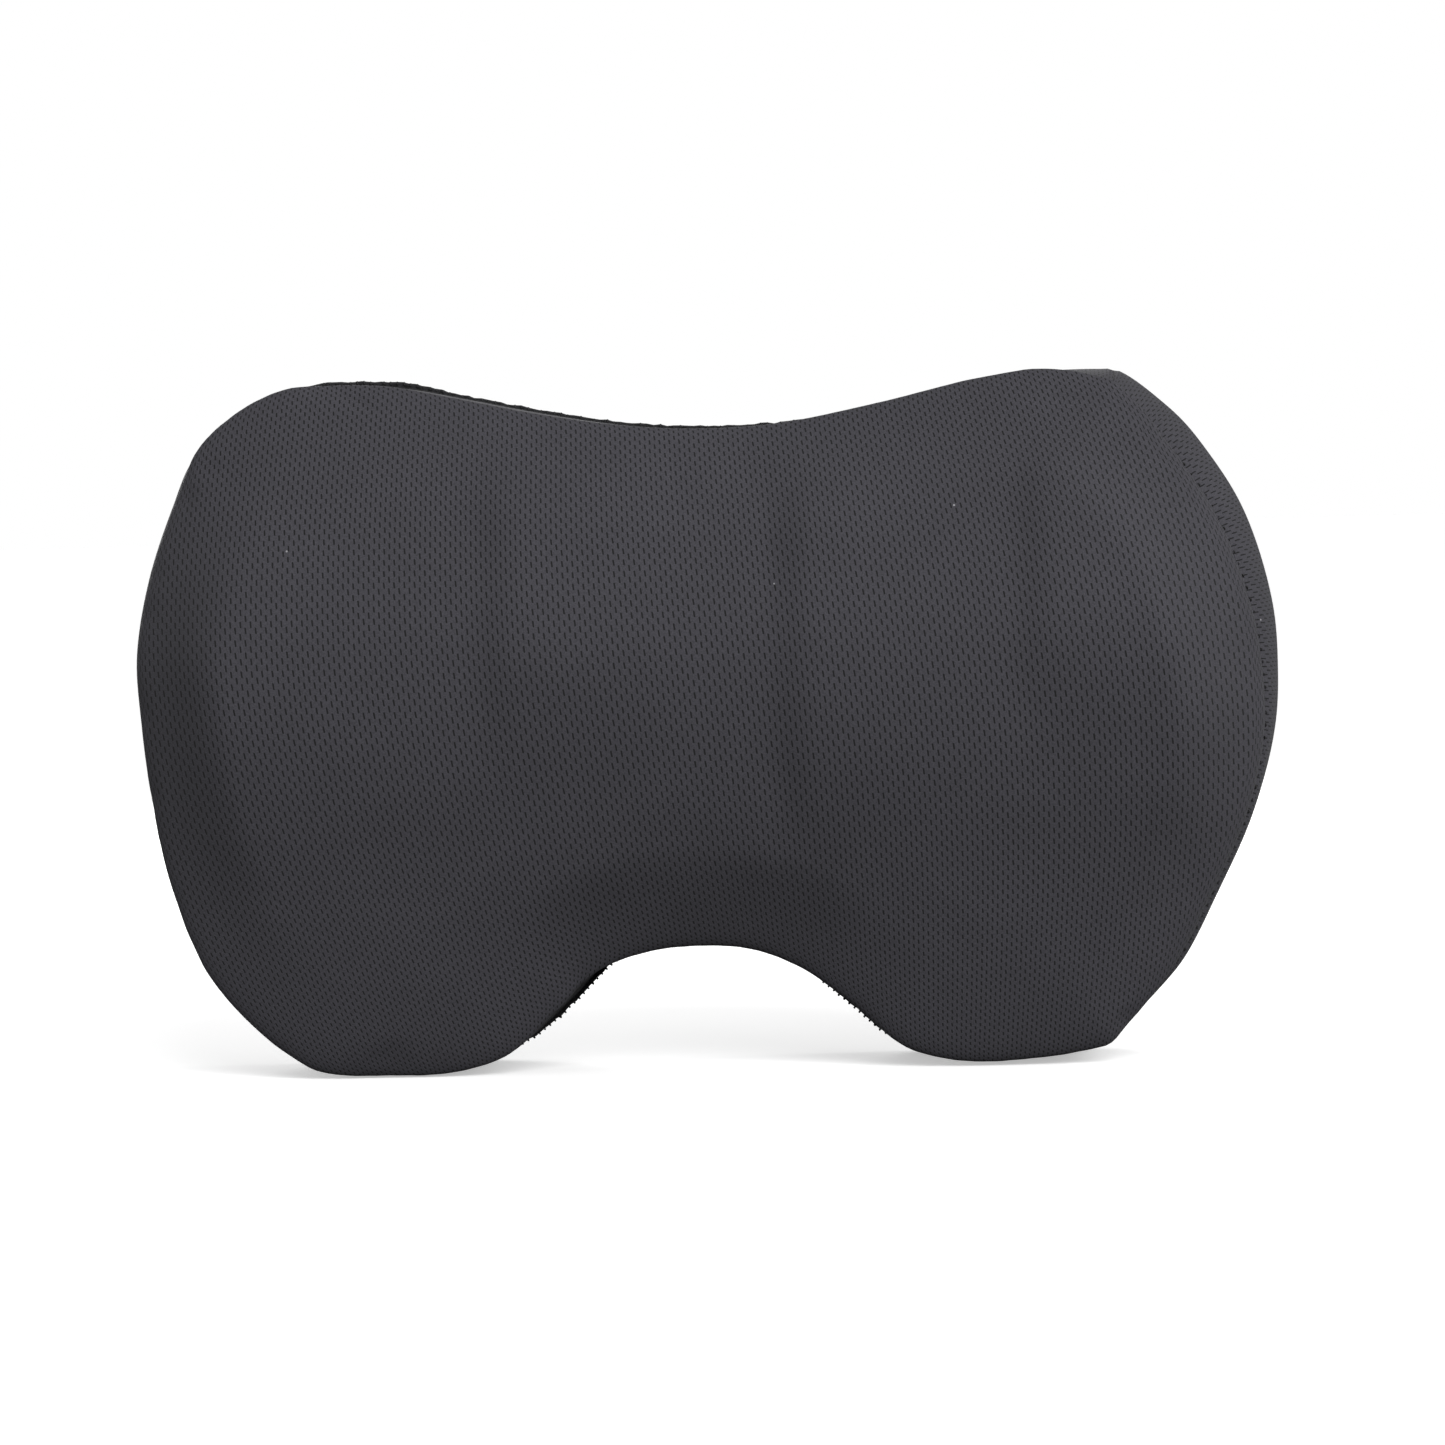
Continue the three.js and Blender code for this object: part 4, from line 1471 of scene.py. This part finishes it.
@dataclass
class Zip:
    """The zip: tapes, coils of interlocked turns, end stops, slider and pull tab."""

    repeat: PathRepeat
    turn_pitch: float = 1.5 * MM
    wire: float = 0.33 * MM
    facing: float = 0.4 * MM
    facing_overlap: float = 6 * MM
    edge: float = 0.3 * MM
    head_reach: float = 0.75 * MM
    head_bulge: float = 0.28 * MM
    end_gap: float = 0.8 * MM

    def build(self) -> None:
        """Builds and dresses the zip."""
        self.tapes()
        self.coils()
        for side in ("left", "right"):
            dress(f"zip_stop_{side}", f"end_stop_{side}", 0.35 * MM, Body.CUSHION, DIE_CAST)
        dress("zip_slider", "slider_body", self.edge, Body.SLIDER, DIE_CAST, 2)
        dress("zip_pull", "slider_pull", self.edge, Body.PULL_TAB, DIE_CAST, 2)

    def tapes(self) -> None:
        """Builds the two woven tapes, and the woven facing that keeps the bag out of the coils."""
        for name in ("upper", "lower"):
            low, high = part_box(f"zip_tape_{name}")
            middle = (low + high) / 2
            path = np.array([(low.x, middle.y), (high.x, middle.y)])
            path = path[0] + (path[1] - path[0]) * np.linspace(0, 1, 90)[:, None]
            tape = ribbon(f"tape_{name}", path, middle.z, high.z - low.z, high.y - low.y)
            hand_over(tape, Body.CUSHION, ZIP_TAPE, f"zip_tape_{name}")
        low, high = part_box("zip_tape_lower")[0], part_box("zip_tape_upper")[1]
        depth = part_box("core_liner")[1].y + self.facing
        x = np.linspace(low.x - self.facing_overlap, high.x + self.facing_overlap, 90)
        path = np.stack([x, np.full(90, depth)], 1)
        facing = ribbon("zip_facing", path, (low.z + high.z) / 2, high.z - low.z, self.facing)
        hand_over(facing, Body.CUSHION, ZIP_TAPE)

    def coils(self) -> None:
        """Winds the two coils, half a turn apart so that their heads lie between each other."""
        for name, side in (("upper", 1), ("lower", -1)):
            low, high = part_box(f"zip_coil_{name}")
            deep = (high.y - low.y) / 2 - self.wire
            reach = (high.z - low.z) / 2
            tip, heel = reach + self.head_reach - self.wire, reach - self.wire * 0.5
            turn = []
            for a in np.linspace(0, math.tau, 14, endpoint=False):
                far = math.cos(a)
                head = self.head_bulge * max(0.0, far) ** 4 * math.sin(2 * a)
                turn.append((head, (tip if far > 0 else heel) * far, deep * math.sin(a)))
            shift = 0.0 if side > 0 else self.turn_pitch / 2
            x = np.linspace(low.x + self.end_gap + shift, high.x - self.end_gap, 40)[::-side]
            middle = (low + high) / 2
            line = at_depth(np.stack([x, np.full(40, middle.z)], 1), middle.y)
            self.repeat.along(
                f"coil_{name}", line, REARWARD, turn, self.wire, self.turn_pitch, COIL, f"zip_coil_{name}",
                ring=True
            )


def filleted(corners: Sequence[tuple[float, float]], radius: float, step: float = 0.8 * MM) -> np.ndarray:
    """Rounds a path's corners and spaces its points evenly.

    Args:
        corners: The path's corners.
        radius: How far from each corner its rounding starts.
        step: Distance between points.

    Returns:
        The path's points.
    """
    points = np.array(corners, float)
    found = [points[0]]
    for before, corner, after in zip(points, points[1:], points[2:]):
        near = min(radius, np.linalg.norm(corner - before) * 0.49)
        far = min(radius, np.linalg.norm(after - corner) * 0.49)
        start = corner + (before - corner) / np.linalg.norm(before - corner) * near
        end = corner + (after - corner) / np.linalg.norm(after - corner) * far
        for t in np.linspace(0, 1, 9):
            found.append((1 - t) ** 2 * start + 2 * t * (1 - t) * corner + t * t * end)
    found.append(points[-1])
    line = np.array(found)
    run = np.concatenate([[0], np.cumsum(np.linalg.norm(np.diff(line, axis=0), axis=1))])
    even = np.linspace(0, run[-1], max(3, int(run[-1] / step)))
    return np.stack([np.interp(even, run, line[:, k]) for k in (0, 1)], 1)


def ribbon(name: str, path: np.ndarray, z: float, width: float, thickness: float) -> Piece:
    """Sweeps a flat band with rounded selvedges along a path across the back.

    Args:
        name: The piece's name.
        path: The band's centre line as x and y.
        z: Height of its middle.
        width: Its width.
        thickness: Its thickness.

    Returns:
        The new object, its flat map running along the band.
    """
    ahead = np.gradient(path, axis=0)
    ahead /= np.linalg.norm(ahead, axis=1, keepdims=True)
    normal = np.stack([-ahead[:, 1], ahead[:, 0]], 1)
    half, round_ = width / 2, thickness / 2
    section = []
    for side in (1, -1):
        flat = np.linspace(-half + round_, half - round_, 12) * side
        section += [(a, side * round_, a) for a in flat]
        end = side * (half - round_)
        for angle in (45, 90, 135):
            turn = math.radians(angle)
            across = end + side * round_ * math.sin(turn)
            section.append((across, side * round_ * math.cos(turn), side * half))
    run = np.concatenate([[0], np.cumsum(np.linalg.norm(np.diff(path, axis=0), axis=1))])
    points, uv = [], []
    for place, out, along in zip(path, normal, run):
        for across, off, flat in section:
            points.append((place[0] + out[0] * off, place[1] + out[1] * off, z + across))
            uv.append((flat, along))
    count = len(section)
    faces = [f[::-1] for f in grid_faces(len(path), count, True)]
    faces += [tuple(range(count)), tuple((len(path) - 1) * count + c for c in range(count))[::-1]]
    piece = make_object(name, np.array(points), faces, np.array(uv))
    return recalculated(piece)


@dataclass
class Strap:
    """The elastic strap with its buckle, adjuster and sewn ends."""

    form: CushionForm
    repeat: PathRepeat
    width: float = 30 * MM
    thickness: float = 1.2 * MM
    gap: float = 0.3 * MM
    joint_x: float = 40 * MM
    return_start: float = 46 * MM
    folded: float = 26 * MM
    arm_flex: float = 8 * MM
    bar_half: float = 2.3 * MM
    bar_width: float = 3 * MM
    bend: float = 2.2 * MM
    edge: float = 0.7 * MM

    def __post_init__(self) -> None:
        """Reads the strap's lie and the buckle's bars from the frame."""
        low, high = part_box("strap_right")
        self.z = (low.z + high.z) / 2
        self.flat_y = (low.y + high.y) / 2
        self.upper_y = self.flat_y + self.thickness + self.gap
        socket_low, socket_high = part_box("buckle_female")
        self.bar_y = (socket_low.y + socket_high.y) / 2
        self.socket_end = socket_low.x
        self.plug_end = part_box("buckle_male")[1].x
        edge = self.form.ring(self.form.back_y)
        level = edge[np.abs(edge[:, 2] - self.z) < self.width / 2, 0]
        self.left_end = level[level < 0].max() + 0.5 * MM
        self.right_end = level[level > 0].min() - 0.5 * MM

    def build(self) -> None:
        """Builds and dresses the strap, the buckle, the adjuster and their stitches."""
        self.left_run()
        self.right_run()
        self.return_run()
        self.patches()
        self.buckle()
        self.adjuster()

    def band(self, name: str, corners: Sequence, radius: float, body: Body, *nodes: str) -> Piece:
        """Lays a length of webbing along a path and hands it over.

        Args:
            name: The piece's name.
            corners: The path's corners as x and y.
            radius: How far from each corner its rounding starts.
            body: The body that it moves with.
            *nodes: The frame's nodes that it stands for.

        Returns:
            The new object.
        """
        piece = ribbon(name, filleted(corners, radius), self.z, self.width, self.thickness)
        hand_over(piece, body, ELASTIC, *nodes)
        return piece

    def turn_round_bar(self, end: float, side: int) -> list[tuple[float, float]]:
        """Lists the corners of the strap's turn round a buckle bar.

        Args:
            end: The buckle half's outer end.
            side: -1 on the left, 1 on the right.

        Returns:
            Corners from the flat run, under the bar, round it and back.
        """
        clear = self.gap + self.thickness / 2
        under, over = self.bar_y - self.bar_half - clear, self.bar_y + self.bar_half + clear
        inner = end - side * (self.bar_width + clear)
        return [
            (end + side * 11 * MM, self.flat_y), (end + side * 3 * MM, under), (inner, under), (inner, over),
            (end + side * 1.5 * MM, over), (end + side * 13 * MM, self.upper_y)
        ]

    def left_run(self) -> None:
        """Builds the left length: sewn at the side, round the socket's bar and folded back on itself."""
        turn = self.turn_round_bar(self.socket_end, -1)
        corners = [(self.left_end, self.flat_y), *turn, (turn[-1][0] - self.folded, self.upper_y)]
        self.band("elastic_left", corners, self.bend, Body.CUSHION, "strap_left")
        middle = turn[-1][0] - self.folded / 2
        self.box_stitch("fold_stitches", middle, self.folded * 0.6, self.upper_y)

    def right_run(self) -> None:
        """Builds the right length, from the buckle's joint to its sewn end."""
        corners = [(self.joint_x, self.flat_y), (self.right_end, self.flat_y)]
        piece = self.band("elastic_right", corners, 1 * MM, Body.CUSHION, "strap_right")
        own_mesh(piece)

    def return_run(self) -> None:
        """Builds the turn round the plug's bar and the length from there to the adjuster."""
        turn = self.turn_round_bar(self.plug_end, 1)
        corners = [(self.joint_x + 0.2 * MM, self.flat_y), *turn[1:-1], (self.return_start, self.upper_y)]
        self.band("elastic_turn", corners, self.bend, Body.PLUG, "strap_return")
        low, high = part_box("strap_adjuster")
        end = (low.x + high.x) / 2 + 2 * MM
        corners = [(self.return_start, self.upper_y), (end, self.upper_y)]
        run = self.band("elastic_return", corners, 1 * MM, Body.PLUG)
        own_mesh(run)

    def patches(self) -> None:
        """Builds the two sewn patches that hold the strap's ends."""
        for side in ("left", "right"):
            low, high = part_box(f"strap_patch_{side}")
            y = (low.y + high.y) / 2
            path = filleted([(low.x, y), (high.x, y)], 1 * MM)
            patch = ribbon(f"sewn_patch_{side}", path, self.z, high.z - low.z, high.y - low.y)
            hand_over(patch, Body.CUSHION, ELASTIC, f"strap_patch_{side}")
            middle = (low.x + high.x) / 2
            self.box_stitch(f"patch_stitches_{side}", middle, (high.x - low.x) * 0.7, y - 0.1 * MM)

    def box_stitch(self, name: str, x: float, length: float, y: float) -> None:
        """Sews a box with a cross in it, as a strap's end is held.

        Args:
            name: The piece's name.
            x: Middle of the box.
            length: Its length along the strap.
            y: Depth of the layer it is sewn on.
        """
        a, b = length / 2, self.width / 2 - 3 * MM
        corners = [(-a, -b), (a, -b), (a, b), (-a, b), (-a, -b), (a, b), (a, -b), (-a, b)]
        line = filleted([(x + u, self.z + v) for u, v in corners], 0.3 * MM)
        path = at_depth(line, y + self.thickness / 2 + 0.05 * MM)
        self.repeat.along(
            name, path, REARWARD, stitch(2.0 * MM), 0.22 * MM, 2.6 * MM, BLACK_THREAD, unevenness=0.06,
            seed=47
        )

    def buckle(self) -> None:
        """Rounds the buckle's halves and its arms, which are baked in place at their moulded roots."""
        dress("buckle_female", "buckle_socket", self.edge, Body.CUSHION, ACETAL)
        dress("buckle_male", "buckle_plug", self.edge, Body.PLUG, ACETAL)
        for name, body in (("upper", Body.ARM_UPPER), ("lower", Body.ARM_LOWER)):
            start = Vector((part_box(f"buckle_arm_{name}")[1].x, self.bar_y, self.z))
            root = (Body.PLUG, start, start - Vector((self.arm_flex, 0, 0)))
            dress(f"buckle_arm_{name}", f"squeeze_arm_{name}", 0.6 * MM, body, ACETAL, root=root)

    def adjuster(self) -> None:
        """Rounds the adjuster and lays the webbing over its centre bar."""
        dress("strap_adjuster", "adjuster_frame", self.edge, Body.ADJUSTER, ACETAL)
        low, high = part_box("strap_adjuster")
        middle = (low.x + high.x) / 2
        top = high.y + self.thickness / 2 + 0.1 * MM
        foot, crest = 7.6 * MM, 2.8 * MM
        low_y = self.upper_y + 1.4 * MM
        steps = ((-foot, low_y), (-crest, top), (crest, top), (foot, low_y))
        corners = [(middle + x, y) for x, y in steps]
        self.band("adjuster_webbing", corners, 2 * MM, Body.ADJUSTER)


# ---- Studio ----------------------------------------------------------------------------------------------


@dataclass(frozen=True)
class Studio:
    """Pale floor, soft lights and the camera."""

    azimuth: float = 3.0
    elevation: float = 2.0
    roll: float = 1.45
    distance: float = 2.0
    frame_width: float = 0.4835
    sky: float = 0.22
    key: float = 2.3
    front: float = 2.0
    left: float = 2.0
    right: float = 5.0
    rear: float = 20.0
    paper: str = "ffffff"
    bounce: str = "303030"
    lift: float = 0.45
    aim: tuple[float, float, float] = (0.0071, 0.0, 0.1152)

    def build(self) -> None:
        """Builds the floor, the lights and the camera."""
        self.floor()
        self.lights()
        self.camera()

    def floor(self) -> None:
        """Lays a wide pale floor, white to the eye and duller to the light that it throws back."""
        half = 60.0
        corners = [(-half, -half, 0), (half, -half, 0), (half, half, 0), (-half, half, 0)]
        floor = make_object("floor", np.array(corners, float), [(0, 1, 2, 3)])
        paper = bpy.data.materials.new("matt paper")
        paper.use_nodes = True
        tree = paper.node_tree
        tree.nodes.clear()
        seen = add_node(tree, "ShaderNodeLightPath", output="Is Camera Ray")
        colour = mix_colours(tree, seen, self.bounce, self.paper)
        matt = add_node(tree, "ShaderNodeBsdfDiffuse", {"Color": colour})
        lift = calc(tree, "MULTIPLY", seen, self.lift)
        glow = add_node(tree, "ShaderNodeEmission", {"Strength": lift})
        surface = add_node(tree, "ShaderNodeAddShader", {0: matt, 1: glow})
        add_node(tree, "ShaderNodeOutputMaterial", {"Surface": surface})
        floor.data.materials.append(paper)

    def lights(self) -> None:
        """Hangs a broad key up to the right, soft lights on all four sides, and a pale sky."""
        key = bpy.data.lights.new("key", "SUN")
        key.energy = self.key
        key.angle = math.radians(38)
        self.hang(key, (1.0, -2.2, 1.4))
        for name, place, size, power in (
            ("front_soft", (0.4, -0.9, 0.45), 0.5, self.front),
            ("left_soft", (-1.2, -0.5, 0.4), 0.6, self.left),
            ("right_soft", (1.5, 0.15, 0.7), 0.6, self.right), ("back_soft", (-0.7, 1.7, 0.7), 1.0, self.rear)
        ):
            lamp = bpy.data.lights.new(name, "AREA")
            lamp.shape = "SQUARE"
            lamp.size = size
            lamp.energy = power
            self.hang(lamp, place)
        world = bpy.data.worlds.new("sky")
        bpy.context.scene.world = world
        world.use_nodes = True
        world.node_tree.nodes.clear()
        seen = add_node(world.node_tree, "ShaderNodeLightPath", output="Is Camera Ray")
        strength = {"Value": seen, 3: self.sky, 4: 1.0}
        level = add_node(world.node_tree, "ShaderNodeMapRange", strength)
        sky = add_node(world.node_tree, "ShaderNodeBackground", {"Color": (1, 1, 1, 1), "Strength": level})
        add_node(world.node_tree, "ShaderNodeOutputWorld", {"Surface": sky})

    def hang(self, lamp: bpy.types.Light, place: tuple[float, float, float]) -> None:
        """Hangs a lamp at a place, aimed at the cushion."""
        holder = linked(lamp.name, lamp)
        holder.location = place
        aim = Vector((0, 0, 0.12)) - Vector(place)
        holder.rotation_euler = aim.to_track_quat("-Z", "Y").to_euler()

    def camera(self) -> None:
        """Places a long lens a little to the right of the cushion and above its middle."""
        a, e = math.radians(self.azimuth), math.radians(self.elevation)
        back = Vector((math.sin(a) * math.cos(e), -math.cos(a) * math.cos(e), math.sin(e)))
        lens = bpy.data.cameras.new("camera")
        lens.sensor_width = 36
        lens.lens = lens.sensor_width * self.distance / self.frame_width
        holder = linked("camera", lens)
        holder.location = Vector(self.aim) + back * self.distance
        holder.rotation_euler = (-back).to_track_quat("-Z", "Y").to_euler()
        holder.rotation_euler.rotate_axis("Z", math.radians(-self.roll))
        bpy.context.scene.camera = holder
        bpy.context.scene.view_settings.view_transform = "Standard"


def main() -> None:
    """Builds the cushion and its studio."""
    logging.basicConfig(level=logging.INFO, format="%(name)s: %(message)s")
    form = CushionForm()
    repeat = PathRepeat()
    settling = Settling(form)
    Cover(form, settling, repeat).build()
    Core(form).build()
    Back(form, repeat).build()
    Zip(repeat).build()
    Strap(form, repeat).build()
    Studio().build()


if __name__ == "__main__":
    main()
